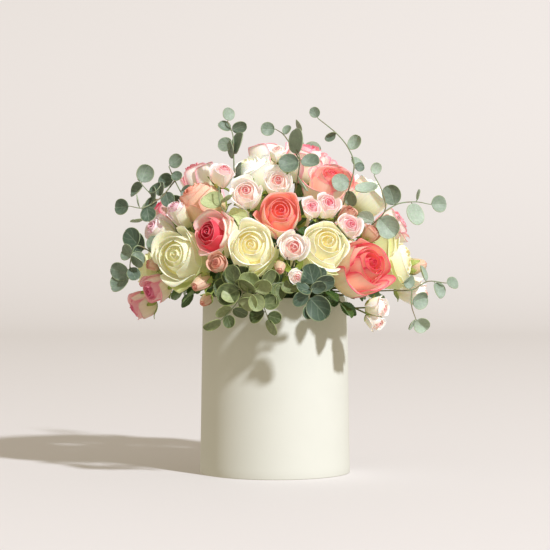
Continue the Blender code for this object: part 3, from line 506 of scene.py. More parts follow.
@dataclass(frozen=True)
class PetalFinish:
    """Rose petal: matt living tissue that lets some light through, with a painted glow: each petal gives off
    its own colour as light, which lifts its shade in place of light held between petals.

    Its colour runs from the claw at its foot to the rim, changes from the heart to the outer
    petals, and is another on the reverse of those. Fine veins fan out from the claw. Guard
    petals, whose layer is past 1, may have a flush of their own.
    """

    name: str
    heart: str
    middle: str
    face: str
    claw: str
    rim: str
    back: str
    back_claw: str
    rim_start: float = 0.80
    rim_strength: float = 0.7
    back_rim_strength: float = 0.4
    middle_layer: float = 0.30
    face_layer: float = 0.75
    vein_count: float = 26.0
    vein_strength: float = 0.06
    roughness: float = 0.55
    glow: float = 0.45
    # Strength of the painted glow: the petals give off their own colour as light.
    painted_glow: float = 0.095
    guard: str = ""
    guard_strength: float = 0.8
    claw_span: tuple[float, float] = (0.05, 0.50)
    back_claw_span: tuple[float, float] = (0.10, 0.75)
    drift: float = 0.04

    def material(self) -> bpy.types.Material:
        """The node material of these petals.

        Returns:
            The material.
        """
        mix = Recipe(self.name, self.roughness)
        across, along, edge = mix.triple("grain")
        layer, reverse, chance = mix.triple("tone")
        core = mix.blend(mix.ramp(layer, 0.0, self.middle_layer), self.heart, self.middle)
        body = mix.blend(mix.ramp(layer, self.middle_layer, self.face_layer, ease=True), core, self.face)
        inner = mix.blend(mix.ramp(along, *self.claw_span, ease=True), self.claw, body)
        outer = mix.blend(mix.ramp(along, *self.back_claw_span, ease=True), self.back_claw, self.back)
        shown = mix.ramp(layer, self.face_layer - 0.10, self.face_layer + 0.12, ease=True)
        outer = mix.blend(shown, inner, outer)
        ragged = mix.noise(mix.vector(across, along, edge), 5.0)
        near = mix.ramp(mix.math("MULTIPLY_ADD", ragged, 0.16, edge), self.rim_start + 0.08, 1.08, ease=True)
        inner = mix.blend(mix.math("MULTIPLY", near, self.rim_strength), inner, self.rim)
        outer = mix.blend(mix.math("MULTIPLY", near, self.back_rim_strength), outer, self.rim)
        both = mix.blend(reverse, inner, outer)
        if self.guard:
            flush = mix.ramp(layer, 1.0, GUARD_LAYER, 0.0, self.guard_strength)
            both = mix.blend(flush, both, self.guard)
        fan = mix.vector(mix.math("MULTIPLY", across, self.vein_count / 2), along,
                         mix.math("MULTIPLY", chance, 40.0))
        vein = mix.noise(fan, 1.0, 3.0)
        value = mix.math("MULTIPLY", mix.ramp(chance, 0.0, 1.0, 1 - self.drift, 1 + self.drift),
                         mix.ramp(vein, 0.35, 0.65, 1 - self.vein_strength, 1.0))
        shade = mix.scaled(both, value)
        mix.coloured(shade)
        mix.embossed(vein, 0.25, 0.0004)
        mix.translucent(self.glow, (1.0, 0.7, 0.5), 0.001)
        mix.set("Specular IOR Level", 0.3)
        # Painted glow: the petals' own colour given off as light, in place of light held between petals.
        mix.tree.links.new(shade, mix.shader.inputs["Emission Color"])
        mix.set("Emission Strength", self.painted_glow)
        return mix.material


@dataclass(frozen=True)
class LeafFinish:
    """Leaf: a waxy or satin skin over a paler reverse, with a midrib and side veins."""

    name: str
    young: str
    old: str
    back: str
    vein: str
    rim: str
    side_veins: float
    roughness: float
    mottle: float = 0.12
    vein_strength: float = 0.5
    rim_strength: float = 0.5
    relief: float = 0.0005

    def material(self) -> bpy.types.Material:
        """The node material of these leaves.

        Returns:
            The material.
        """
        mix = Recipe(self.name, self.roughness)
        across, along, edge = mix.triple("grain")
        _, reverse, chance = mix.triple("tone")
        spot = mix.spot()
        # Darkness of the leaf: a soft cloud plus the blade's tone value, which holds its age and, on
        # eucalyptus leaves set past 1, painted shade.
        age = mix.math("MULTIPLY_ADD", mix.noise(spot, 160.0, 3.0), 0.5, chance)
        face = mix.blend(mix.ramp(age, 0.25, 1.25), self.young, self.old)
        wide = mix.math("ABSOLUTE", across)
        slant = mix.vector(mix.math("MULTIPLY_ADD", wide, -0.45, along))
        side = add_node(mix.tree, "ShaderNodeTexWave", {"Vector": slant, "Scale": self.side_veins / 6.3,
                                                        "Distortion": 0.6}, wave_type="BANDS",
                        bands_direction="X")
        line = mix.math("MAXIMUM", mix.ramp(wide, 0.09, 0.02, ease=True),
                        mix.ramp(side.outputs[1], 0.80, 1.0, 0.0, 0.45))
        face = mix.blend(mix.math("MULTIPLY", line, self.vein_strength), face, self.vein)
        both = mix.blend(reverse, face, self.back)
        edged = mix.blend(mix.ramp(edge, 0.90, 1.0, 0.0, self.rim_strength), both, self.rim)
        patch = mix.ramp(mix.noise(spot, 420.0), 0.25, 0.75, 1 - self.mottle, 1 + self.mottle)
        mix.coloured(mix.scaled(edged, patch))
        mix.embossed(line, 0.5, self.relief, sunk=True)
        mix.translucent(0.08, (0.4, 1.0, 0.3), 0.002)
        return mix.material


@dataclass(frozen=True)
class BarkFinish:
    """Green stem skin: satin, flushed with brown in soft patches."""

    name: str
    green: str
    flush: str
    roughness: float = 0.5

    def material(self) -> bpy.types.Material:
        """The node material of these stems.

        Returns:
            The material.
        """
        mix = Recipe(self.name, self.roughness)
        cloud = mix.noise(mix.spot(), 90.0, 4.0)
        mix.coloured(mix.blend(mix.ramp(cloud, 0.45, 0.75), self.green, self.flush))
        mix.embossed(cloud, 0.3, 0.0005)
        return mix.material


@dataclass(frozen=True)
class PaperFinish:
    """Uncoated ivory paper glued round card: matt, with faint fibres and a soft unevenness."""

    name: str = "ivory_paper_wrap"
    colour: str = "#E4E3DB"
    fibre_mm: float = 0.6
    cloud_mm: float = 40.0
    roughness: float = 0.72

    def material(self) -> bpy.types.Material:
        """The node material of the paper.

        Returns:
            The material.
        """
        mix = Recipe(self.name, self.roughness)
        spot = mix.spot()
        fibre = mix.noise(spot, 1 / (self.fibre_mm * MM), 3.0)
        mixed = mix.math("MULTIPLY_ADD", fibre, 0.5, mix.noise(spot, 1 / (self.cloud_mm * MM)))
        mix.coloured(mix.scaled(self.colour, mix.ramp(mixed, 0.4, 1.1, 0.975, 1.01)))
        mix.embossed(fibre, 0.15, 0.0002)
        mix.set("Specular IOR Level", 0.35)
        return mix.material


@dataclass(frozen=True)
class FoamFinish:
    """Soaked phenolic foam: matt dark green, full of fine open cells."""

    name: str = "soaked_floral_foam"
    wet: str = "#24381F"
    dry: str = "#3E5A33"
    cell_mm: float = 1.2
    roughness: float = 0.9

    def material(self) -> bpy.types.Material:
        """The node material of the foam.

        Returns:
            The material.
        """
        mix = Recipe(self.name, self.roughness)
        spot = mix.spot()
        cells = add_node(mix.tree, "ShaderNodeTexVoronoi", {"Vector": spot, "Scale": 1 / (self.cell_mm * MM)})
        mix.coloured(mix.blend(mix.noise(spot, 60.0), self.wet, self.dry))
        mix.embossed(cells.outputs[0], 0.8, 0.0008)
        return mix.material


@dataclass(frozen=True)
class PlasticFinish:
    """Thin moulded polythene: cloudy, satin."""

    name: str = "cloudy_polythene"
    colour: str = "#DDE0DC"
    roughness: float = 0.35

    def material(self) -> bpy.types.Material:
        """The node material of the plastic.

        Returns:
            The material.
        """
        mix = Recipe(self.name, self.roughness)
        haze = mix.ramp(mix.noise(mix.spot(), 30.0), 0.0, 1.0, 0.95, 1.05)
        mix.coloured(mix.scaled(self.colour, haze))
        return mix.material


class Petals(Enum):
    """The petal finishes, by the kind of rose, with darker copies painted with shade for heads that sit in
    shade.
    """

    WHITE = PetalFinish("creamy_white_petal", heart="#FDEEB0", middle="#FFF6CA", face="#FFFBE2",
                        claw="#F4E49A", rim="#FFFEF8", back="#FBF4D0", back_claw="#D6D886",
                        rim_strength=0.5, back_rim_strength=0.7, painted_glow=0.115,
                        guard="#E2E6A4")
    # Painted shade: a darker, greener copy of the white petals, for the white rose on the left, which sits in
    # shade.
    COOL_WHITE = PetalFinish("shaded_white_petal", heart="#F2ECB8", middle="#F3F0CA", face="#F0EDD2",
                             claw="#E4DC94", rim="#FBFAEC", back="#ECEAC0", back_claw="#C0C872",
                             rim_strength=0.5, back_rim_strength=0.7, guard="#D6DA92")
    SNOW = PetalFinish("pure_white_petal", heart="#FDF6D0", middle="#FFFBE8", face="#FFFDF6",
                       claw="#F6EFC0", rim="#FFFFFC", back="#FEFBEE", back_claw="#E8E8B8",
                       rim_strength=0.5, back_rim_strength=0.7, painted_glow=0.13)
    GREEN_WHITE = PetalFinish("greenish_white_petal", heart="#F1EDB0", middle="#F3F0C0", face="#F5F3CC",
                              claw="#D2CF7C", rim="#F8F6DC", back="#EBEAB4", back_claw="#BCC670")
    CORAL = PetalFinish("coral_petal", heart="#FA7066", middle="#FEA08A", face="#FEBAA4",
                        claw="#FDA280", rim="#FB8698", back="#FDE6D0", back_claw="#F4E6B2",
                        rim_start=0.76, rim_strength=0.55, back_rim_strength=0.9, painted_glow=0.11)
    CORAL_EDGED = PetalFinish("pink_edged_coral_petal", heart="#F25C66", middle="#FBA894",
                              face="#FFDAC6", claw="#FDD2B2", rim="#EC4468", back="#FBE6D2",
                              back_claw="#F2E4B0", middle_layer=0.45, face_layer=0.86, rim_start=0.60,
                              rim_strength=0.9, back_rim_strength=0.95, painted_glow=0.11)
    CORAL_DEEP = PetalFinish("deep_coral_petal", heart="#BC142E", middle="#EC5060", face="#FEF0E4",
                             claw="#DA4854", rim="#F88C96", back="#FEF4E4", back_claw="#F2E6AE",
                             middle_layer=0.62, face_layer=0.84, rim_start=0.74, rim_strength=0.6,
                             back_rim_strength=0.75)
    CORAL_SOFT = PetalFinish("soft_coral_petal", heart="#F96C70", middle="#FE9C92", face="#FFD0C2",
                             claw="#FDC8A8", rim="#F8748E", back="#FEE4D4", back_claw="#F6E2B2",
                             rim_start=0.74, rim_strength=0.65, back_rim_strength=0.75,
                             painted_glow=0.15)
    PEACH = PetalFinish("peach_petal", heart="#EE9680", middle="#F1B298", face="#F5CCB8",
                        claw="#F4CAA2", rim="#F29A92", back="#F5CCB2", back_claw="#ECD09A",
                        rim_start=0.82, rim_strength=0.5, back_rim_strength=0.5)
    FRINGED = PetalFinish("pink_fringed_petal", heart="#F68CA0", middle="#FAB8C0", face="#FEECE8",
                          claw="#FBF2E0", rim="#F2688E", back="#FEF2EC", back_claw="#F6F2D0",
                          rim_start=0.68, rim_strength=0.8, back_rim_strength=0.6, painted_glow=0.145)
    DEEP_PINK = PetalFinish("deep_pink_petal", heart="#DE2A58", middle="#F06884", face="#F8A0B2",
                            claw="#FBD6C8", rim="#E83A6A", back="#F9CFCC", back_claw="#F2E0B4",
                            rim_start=0.62, rim_strength=0.85, back_rim_strength=0.8, painted_glow=0.11)
    BLUSH = PetalFinish("blush_spray_petal", heart="#F2949A", middle="#FCD6CA", face="#FFF6F0",
                        claw="#FDE4D6", rim="#FFFBF8", back="#FFF6EE", back_claw="#F4EFCA",
                        middle_layer=0.30, face_layer=0.66, rim_start=0.86, painted_glow=0.12)
    ROSE_PINK = PetalFinish("rose_pink_spray_petal", heart="#C83E6C", middle="#E0809A", face="#F2C0C2",
                            claw="#EFCFC6", rim="#E6748F", back="#F4E0D2", back_claw="#DED6A6",
                            rim_start=0.78, rim_strength=0.6, back_rim_strength=0.4)
    CANDY = PetalFinish("candy_pink_spray_petal", heart="#F47C98", middle="#FCBCC2", face="#FFEAE6",
                        claw="#FEE8E0", rim="#FEE2E6", back="#FFF4EC", back_claw="#F6F0CE",
                        middle_layer=0.30, face_layer=0.70, rim_start=0.86, painted_glow=0.12)
    # Painted shade on buff: these bud petals are darker than their own colour, for the buds that sit in shade
    # under the large heads, and their painted glow is weaker.
    BUFF = PetalFinish("buff_bud_petal", heart="#D98474", middle="#E0A08A", face="#E6BEA8",
                       claw="#DEBC92", rim="#E69A8A", back="#E8C6AC", back_claw="#CCBE84",
                       rim_start=0.84, painted_glow=0.075)
    LILAC = PetalFinish("lilac_blush_spray_petal", heart="#DE98A8", middle="#EEC4CC", face="#F4E2E2",
                        claw="#F2E2D2", rim="#F2DADC", back="#F2EADC", back_claw="#C8CC92",
                        middle_layer=0.30, face_layer=0.66, rim_start=0.86)


EUCALYPTUS_LEAF = LeafFinish("waxy_eucalyptus_leaf", young="#B4C2B0", old="#4A5E4C", back="#A9B7A4",
                             vein="#B2BFA6", rim="#B9C28C", side_veins=7, roughness=0.55,
                             vein_strength=0.24, rim_strength=0.45)
OLIVE_LEAF = LeafFinish("olive_eucalyptus_leaf", young="#CCD49E", old="#4E5C34", back="#98A67C",
                        vein="#A8B480", rim="#BCC676", side_veins=7, roughness=0.5,
                        vein_strength=0.28, rim_strength=0.42)
ROSE_LEAF = LeafFinish("satin_rose_leaf", young="#4E7434", old="#2C4A22", back="#7E9A6A",
                       vein="#86A05C", rim="#5E7A3C", side_veins=9, roughness=0.38, rim_strength=0.3,
                       relief=0.0008)
SEPALS = LeafFinish("green_sepal", young="#A6BA50", old="#748F3E", back="#B4C26A", vein="#A8B666",
                        rim="#8FA04A", side_veins=3, roughness=0.55)
ROSE_STEM_SKIN = BarkFinish("green_rose_stem", "#4C6B2C", "#6A5A34")
SPRAY_STEM_SKIN = BarkFinish("pale_spray_stem", "#7E9448", "#8C7A48")
TWIG_SKIN = BarkFinish("eucalyptus_twig", "#8A9A76", "#8E6F55")


@dataclass
class Bloom:
    """One flower head: where its face is, how wide it is, where it looks and its kind.

    Each guard is a broad outer petal: its azimuth in the head's frame and how far it has
    fallen open, from 0 to 1. The sepals of an open spray head may be longer than the usual 1.
    """

    name: str
    azimuth: float
    elevation: float
    reach: float
    diameter: float
    face_azimuth: float
    face_elevation: float
    petals: Petals = Petals.BLUSH
    slimness: float = 0.80
    roll: float = 0.0
    openness: float = 0.5
    guards: tuple = ()
    sepals: float = 1.0
    planes: list = field(default_factory=list)

    @property
    def radius(self) -> float:
        """Radius in metres."""
        return self.diameter * MM / 2

    @property
    def height(self) -> float:
        """Height from base to crown in metres."""
        return self.diameter * MM * self.slimness

    @property
    def axis(self) -> Array:
        """Unit vector that the face looks along."""
        return direction(self.face_azimuth, self.face_elevation)

    @property
    def base(self) -> Array:
        """Point where the head meets its stem."""
        face = DOME_CENTRE + self.reach * MM * direction(self.azimuth, self.elevation)
        return face - self.axis * self.height * BASE_SHARE

    @property
    def middle(self) -> Array:
        """Point that the head's room is measured from."""
        return self.base + self.axis * self.height * MIDDLE_SHARE

    def place(self, points: Array) -> Array:
        """Points in the head's own frame as world points."""
        across, up = across_frame(self.axis, self.roll)
        return self.base + points @ np.array([across, up, self.axis])

    def confine(self, points: Array) -> Array:
        """Draw points softly towards the middle so that none passes a neighbour's plane.

        The share of the room that a point takes is left alone up to SOFT_SHARE and then nears
        one by an exponential.

        Args:
            points: World points, (n, 3).

        Returns:
            The points in their room.
        """
        offset = points - self.middle
        distance = np.linalg.norm(offset, axis=1)
        heading = offset / np.maximum(distance, 1e-9)[:, None]
        room = np.full(len(points), 1.0)
        for normal, limit in self.planes:
            towards = heading @ normal
            room = np.where(towards > 1e-3, np.minimum(room, limit / np.maximum(towards, 1e-3)), room)
        share = distance / room
        soft = 1 - (1 - SOFT_SHARE) * np.exp(-(share - SOFT_SHARE) / (1 - SOFT_SHARE))
        share = np.where(share > SOFT_SHARE, soft, share)
        return self.middle + heading * (share * room)[:, None]


# Large roses: azimuth, elevation, reach in mm, diameter in mm, where it faces, kind.
ROSES = [
    Bloom("rose_white_left", -52, 18, 155, 68, -22, 8, Petals.COOL_WHITE, roll=20,
          guards=((270, 0.7), (330, 0.3))),
    Bloom("rose_white_front", -11, 23, 155, 64, -2, 14, Petals.WHITE, roll=50,
          guards=((262, 0.35),)),
    Bloom("rose_white_front_right", 25, 24, 155, 66, 14, 22, Petals.WHITE, roll=10,
          guards=((235, 0.15),)),
    Bloom("rose_white_right", 80, 15, 160, 64, 78, 12, Petals.WHITE, roll=0,
          guards=((170, 0.8), (215, 0.5), (125, 0.3))),
    Bloom("rose_white_crown", -42, 72, 160, 54, -60, 55, Petals.SNOW, roll=30,
          guards=((250, 0.15), (312, 0.25))),
    Bloom("rose_white_high_right", 92, 46, 172, 54, 95, 45, Petals.SNOW, roll=0,
          guards=((200, 0.5),)),
    Bloom("rose_coral_front", 3, 40, 155, 56, 3, 22, Petals.CORAL, roll=0,
          guards=((212, 0.6),)),
    Bloom("rose_coral_left", -34, 29, 155, 56, -38, 14, Petals.CORAL_DEEP, openness=0.85,
          guards=((8, 0.8), (318, 0.5))),
    Bloom("rose_coral_crown", 58, 60, 160, 60, 20, 58, Petals.CORAL_SOFT, roll=15,
          guards=((315, 0.7), (200, 0.4))),
    Bloom("rose_coral_right", 46, 14, 157, 70, 38, 18, Petals.CORAL_EDGED, roll=40,
          guards=((180, 0.35), (260, 0.2))),
    Bloom("rose_peach_left", -62, 48, 162, 54, -70, 52, Petals.PEACH, slimness=0.95,
          guards=((290, 0.3),)),
    Bloom("rose_pink_high_left", -100, 56, 178, 46, -105, 65, Petals.FRINGED, roll=20),
    Bloom("rose_deep_pink_left", -96, 36, 172, 46, -95, 38, Petals.DEEP_PINK, roll=0),
    Bloom("rose_blush_right", 92, 30, 172, 46, 84, 30, Petals.FRINGED, roll=10,
          guards=((180, 0.7), (235, 0.4))),
    Bloom("rose_pink_crown_left", -160, 76, 178, 40, -150, 70, Petals.FRINGED, roll=0),
    Bloom("rose_pink_crown", 115, 76, 176, 58, 60, 72, Petals.FRINGED, roll=25, openness=0.9,
          guards=((90, 0.5), (200, 0.6), (330, 0.6))),
    Bloom("rose_green_white_left", -80, 10, 160, 50, -82, 8, Petals.GREEN_WHITE, roll=35),
    Bloom("rose_white_back_right", 118, 14, 158, 66, 118, 16, Petals.WHITE, roll=12),
    Bloom("rose_coral_back_right", 150, 20, 158, 64, 150, 22, Petals.CORAL, roll=44),
    Bloom("rose_white_back", 182, 14, 158, 68, 182, 16, Petals.WHITE, roll=5),
    Bloom("rose_coral_back_left", 214, 20, 158, 62, 212, 22, Petals.CORAL_SOFT, roll=30),
    Bloom("rose_white_back_left", 247, 16, 158, 66, 246, 18, Petals.WHITE, roll=22),
    Bloom("rose_peach_back", 136, 48, 162, 56, 136, 46, Petals.PEACH, roll=8),
    Bloom("rose_white_back_high", 186, 47, 162, 60, 186, 46, Petals.WHITE, roll=33),
    Bloom("rose_blush_back", 232, 46, 164, 54, 232, 46, Petals.FRINGED, roll=16),
]

# Spray roses: each spray is one branched stem with small heads and closed buds.
SPRAYS = {
    "spray_crown_front": [
        Bloom("open", -18, 48, 165, 41, -6, 22, Petals.BLUSH),
        Bloom("twin", 2, 55, 165, 36, 4, 25, Petals.BLUSH),
        Bloom("half_open", -45, 60, 170, 28, 30, 50, Petals.CANDY, slimness=1.0),
    ],
    "spray_front_centre": [
        Bloom("open", 8, 21, 166, 38, 8, 8, Petals.BLUSH),
        Bloom("small", 9, 9, 163, 20, 8, -5, Petals.BLUSH, slimness=1.3, openness=0.3,
              sepals=2.1),
        Bloom("pale_bud", 2, 12, 160, 16, -5, -30, Petals.BUFF, slimness=1.5),
    ],
    "spray_left_high": [
        Bloom("half_open", -62, 38, 168, 31, -50, 45, Petals.LILAC, slimness=1.15),
        Bloom("open", -73, 28, 170, 36, -60, 30, Petals.LILAC, slimness=0.95),
    ],
    "spray_left_low": [
        Bloom("open", -66, 2, 160, 38, -50, -22, Petals.ROSE_PINK),
        Bloom("side", -84, -6, 168, 37, -75, -25, Petals.ROSE_PINK),
        Bloom("bud", -66, 13, 166, 20, -60, 5, Petals.BUFF, slimness=1.2),
    ],
    "spray_right_high": [
        Bloom("small", 20, 40, 164, 26, 5, 30, Petals.CANDY),
        Bloom("twin", 30, 41, 166, 32, 22, 34, Petals.CANDY),
        Bloom("pale", 43, 38, 162, 20, 35, 45, Petals.BUFF, slimness=1.2),
        Bloom("open", 37, 30, 168, 33, 28, 25, Petals.CANDY),
        Bloom("peach", 56, 29, 160, 24, 60, 45, Petals.BUFF),
    ],
    "spray_front_left": [
        Bloom("ruffled", -26, 15, 160, 26, -20, 12, Petals.BUFF),
        Bloom("long_bud", -35, 5, 160, 20, -35, -20, Petals.BUFF, slimness=1.5),
        Bloom("tiny_bud", -32, -2, 156, 15, -30, -30, Petals.BUFF, slimness=1.2),
    ],
    "spray_right_low": [
        Bloom("open", 51, -5, 162, 30, 62, -5, Petals.BLUSH),
        Bloom("twin", 50, -11, 160, 26, 48, -35, Petals.BLUSH),
    ],
    "spray_far_right": [
        Bloom("half_open", 86, 0, 175, 35, 80, -18, Petals.BLUSH, slimness=1.1),
        Bloom("bud", 92, 11, 182, 22, 100, 10, Petals.BUFF, slimness=1.2),
    ],
    "spray_crown_back": [
        Bloom("pale", 20, 87, 172, 22, 0, 60, Petals.BLUSH),
        Bloom("open", 165, 66, 170, 36, 165, 60, Petals.ROSE_PINK),
    ],
    "spray_back_right": [
        Bloom("open", 133, 2, 160, 34, 133, -5, Petals.CANDY),
        Bloom("bud", 135, 31, 168, 24, 132, 30, Petals.BUFF, slimness=1.2),
    ],
    "spray_back_middle": [
        Bloom("half_open", 168, 32, 168, 32, 168, 32, Petals.ROSE_PINK, slimness=1.0),
        Bloom("bud", 166, 3, 160, 24, 166, -10, Petals.BUFF, slimness=1.2),
    ],
    "spray_back_left": [
        Bloom("open", 199, 32, 168, 34, 199, 30, Petals.BLUSH),
        Bloom("small", 199, -1, 160, 30, 199, -8, Petals.CANDY),
    ],
    "spray_far_back_left": [
        Bloom("open", 231, 4, 160, 34, 231, -6, Petals.BLUSH),
        Bloom("half_open", 230, 31, 170, 30, 230, 30, Petals.ROSE_PINK, slimness=1.0),
    ],
}

# Sprays whose stem stands elsewhere than straight below its heads: azimuth, radius in mm.
SPRAY_ENTRIES = {"spray_crown_back": (150, 8)}


@dataclass
class Branch:
    """One twig: its route in mm and its leaves (share of the route, diameter in mm, angle).

    A fourth number is the leaf's twist about its midrib, which is left to chance otherwise.
    The last list holds leaves that the frame leaves out.
    """

    route: list
    leaves: list
    more_leaves: list = field(default_factory=list)


@dataclass
class Sprig:
    """One eucalyptus stem: where it enters the foam, where its leaves look, and its twigs.

    The darkness of its leaves runs from 0, pale young leaves, to 1, dark old ones, with some chance either
    way; it also stands for shade under the heads, and values past 1 are painted shade only.
    """

    name: str
    entry_azimuth: float
    entry_radius: float
    look_azimuth: float
    look_elevation: float
    branches: list
    age: float = 0.45
    leaf: LeafFinish = EUCALYPTUS_LEAF


SPRIGS = [
    Sprig("eucalyptus_right_high", 66, 52, 20, 8, [
        Branch([(120, -62, 308), (128, -84, 314), (125, -88, 337), (116, -80, 356)],
               [(0.30, 28, -50), (0.20, 20, 160), (0.85, 27, 200), (1.0, 14, 75)]),
        Branch([(128, -84, 314), (146, -50, 323), (167, -40, 325), (184, -35, 322)],
               [(0.35, 24, 100), (0.70, 27, -75), (0.78, 14, 70), (1.0, 21, 3)]),
    ], age=0.35),
    Sprig("eucalyptus_right_low", 74, 62, 25, 0, [
        Branch([(143, -50, 214), (162, -45, 221), (181, -45, 231), (202, -45, 229)],
               [(0.66, 20, 98), (0.80, 20, -65), (1.0, 16, 0), (0.36, 17, 105)]),
        Branch([(162, -45, 221), (161, -60, 203), (166, -60, 187)],
               [(0.50, 22, 15), (1.0, 20, -40), (1.0, 14, -135)]),
    ], age=0.25),
    Sprig("eucalyptus_crown_right", 84, 34, 15, 15, [
        Branch([(90, -75, 345), (93, -60, 365), (88, -45, 386), (74, -35, 405), (51, -30, 424)],
               [(1.0, 13, 120), (0.76, 15, -160), (0.54, 19, 50), (0.46, 17, -50),
                (0.32, 12, 15), (0.18, 22, 185), (0.10, 19, -75)]),
    ], age=0.5),
    Sprig("eucalyptus_crown", 15, 34, 5, 12, [
        Branch([(29, -110, 337), (29, -95, 374), (25, -85, 386)],
               [(0.86, 30, 88), (0.70, 24, 195), (0.70, 22, -12), (0.35, 22, -70)]),
        Branch([(29, -95, 374), (12, -55, 402), (1, -38, 411)],
               [(1.0, 17, 180), (0.75, 12, 60)]),
    ]),
    Sprig("eucalyptus_crown_left", -60, 22, -15, 10, [
        Branch([(-46, -60, 365), (-49, -45, 386), (-50, -40, 405), (-56, -38, 420)],
               [(0.46, 27, 70), (0.40, 22, 118), (0.85, 18, 25), (0.85, 16, 155), (1.0, 16, 90),
                (0.62, 18, 175), (0.14, 24, 205), (0.14, 16, 15)]),
    ]),
    Sprig("eucalyptus_left_crown", -27, 40, -20, 20, [
        Branch([(-62, -110, 302), (-63, -112, 322), (-65, -105, 344)],
               [(0.55, 27, 150, 12), (0.62, 17, 25, -50), (0.28, 22, -5, 30), (0.08, 18, -80)]),
    ], age=0.05, leaf=OLIVE_LEAF),
    Sprig("eucalyptus_left_high", -87, 52, -30, 12, [
        Branch([(-112, -16, 334), (-119, -26, 350), (-126, -30, 367)],
               [(0.42, 21, -15), (0.70, 20, 195), (1.0, 18, 40)],
               [(0.20, 20, 200), (0.30, 22, -60), (0.85, 14, -30)]),
        Branch([(-119, -26, 350), (-138, -30, 328), (-150, -34, 337), (-163, -34, 352)],
               [(0.90, 22, 75), (0.84, 20, 205), (0.55, 17, -110)],
               [(0.25, 18, -70), (0.40, 17, 100), (0.70, 17, 20)]),
        Branch([(-138, -30, 328), (-156, -42, 318), (-172, -44, 320)],
               [(1.0, 20, 185), (0.45, 20, -70)],
               [(0.25, 18, 80), (0.70, 15, 120)]),
    ], age=0.7),
    Sprig("eucalyptus_left_low", -64, 60, -40, 0, [
        Branch([(-147, -60, 269), (-161, -70, 274), (-169, -70, 259), (-171, -68, 239)],
               [(0.30, 27, 150, 10), (0.62, 20, 172), (0.55, 18, -75), (1.0, 27, 215, 5)],
               [(0.20, 20, 60), (0.45, 25, 140, 15), (0.70, 18, -20), (0.85, 17, -60),
                (1.0, 24, 160, -10)]),
    ], age=0.75),
    Sprig("eucalyptus_front", -20, 62, -10, -6, [
        Branch([(-45, -150, 248), (-46, -168, 233), (-37, -172, 224), (-45, -165, 209),
                (-61, -150, 191)],
               [(0.14, 27, 195), (0.12, 25, 65), (0.32, 26, -5), (0.42, 27, 205), (0.50, 22, -50),
                (0.74, 20, -160), (0.76, 18, -30), (1.0, 22, 205)],
               [(0.20, 20, 130), (0.30, 21, 100), (0.46, 20, 70), (0.60, 19, 150), (0.64, 20, -10),
                (0.88, 15, -70)]),
        Branch([(-37, -172, 224), (-20, -170, 222), (-13, -165, 207), (-8, -155, 193)],
               [(0.35, 22, 60), (0.60, 19, 10), (0.80, 21, 205), (1.0, 20, -70)],
               [(0.15, 23, 85), (0.25, 20, -75), (0.50, 21, 120), (0.70, 18, 50), (0.90, 16, -20)]),
        Branch([(-20, -170, 222), (-6, -160, 231), (8, -152, 234)], [],
               [(0.35, 22, 75), (0.60, 20, -50), (0.85, 19, 130), (1.0, 20, -30), (1.0, 18, -100)]),
    ], age=0.80, leaf=OLIVE_LEAF),
    # Painted shade: these leaves are darkened past the oldest leaf colour, for the shade that the heads above
    # cast on them.
    Sprig("eucalyptus_front_right", 17, 62, 15, 0, [
        Branch([(46, -130, 242), (46, -155, 234), (39, -160, 219), (40, -152, 206)],
               [(0.50, 24, 100), (0.52, 24, 15), (0.78, 30, -50), (0.72, 21, 200)],
               [(0.30, 20, 150), (0.35, 20, 60), (0.62, 20, 165), (0.66, 18, 40), (0.95, 16, -110)]),
    ], age=1.25),
    Sprig("eucalyptus_back_right", 126, 66, 128, 5, [
        Branch([(110, 86, 236), (134, 105, 250), (148, 115, 252), (158, 124, 238)],
               [(0.40, 26, 80), (0.42, 24, -95), (0.72, 22, 60), (0.74, 22, -110), (1.0, 18, -30)]),
    ]),
    Sprig("eucalyptus_back", 198, 60, 198, 5, [
        Branch([(-43, 132, 258), (-49, 152, 266), (-52, 163, 262), (-54, 168, 248)],
               [(0.38, 27, 20), (0.40, 25, 170), (0.68, 24, -10), (0.70, 24, 200), (1.0, 20, -90)]),
    ]),
    Sprig("eucalyptus_back_left", 240, 50, 238, 10, [
        Branch([(-118, 74, 284), (-142, 88, 300), (-155, 97, 306), (-166, 104, 300)],
               [(0.38, 25, 75), (0.40, 24, -100), (0.70, 22, 50), (0.72, 20, -120), (1.0, 18, 0)]),
    ]),
    Sprig("eucalyptus_back_high", 162, 30, 165, 30, [
        Branch([(29, 80, 344), (34, 100, 372), (36, 108, 392), (30, 112, 408)],
               [(0.30, 26, 10), (0.32, 25, 175), (0.64, 22, 20), (0.66, 22, 160), (1.0, 17, 90)]),
    ]),
]

# Rose foliage. Each leaf: rose, tip in mm, leaflet length in mm, leaflet count.
ROSE_LEAVES = [
    ("rose_white_left", (-108, -122, 212), 30, 3),
    ("rose_coral_right", (90, -118, 194), 34, 3),
    ("rose_white_front_right", (72, -136, 214), 28, 1),
    ("rose_white_back_right", (138, 66, 204), 32, 3),
    ("rose_white_back", (30, 158, 206), 32, 3),
    ("rose_white_back_left", (-138, 64, 206), 32, 3),
]

# Leaves that fill the dark gaps between the heads and the rim, too small for the frame.
GAP_LEAVES = [
    ("rose_white_front", (-22, -120, 224), 34, 3),
    ("rose_white_front_right", (40, -122, 228), 34, 3),
    ("rose_white_left", (-74, -112, 230), 34, 3),
    ("rose_coral_right", (66, -112, 222), 32, 3),
    ("rose_white_right", (112, -70, 226), 32, 3),
]

# Large roses whose stems share one green node, by the sector of the dome that they fill.
GREEN_SECTORS = {
    "rose_greens_front": (-25, 35),
    "rose_greens_right": (35, 105),
    "rose_greens_back_right": (105, 170),
    "rose_greens_back_left": (170, 255),
    "rose_greens_left": (255, 335),
}


def box_radius(height: float | Array) -> float | Array:
    """Outer radius of the tapered box at a height."""
    return BOX_FOOT_RADIUS + (BOX_RIM_RADIUS - BOX_FOOT_RADIUS) * height / BOX_HEIGHT


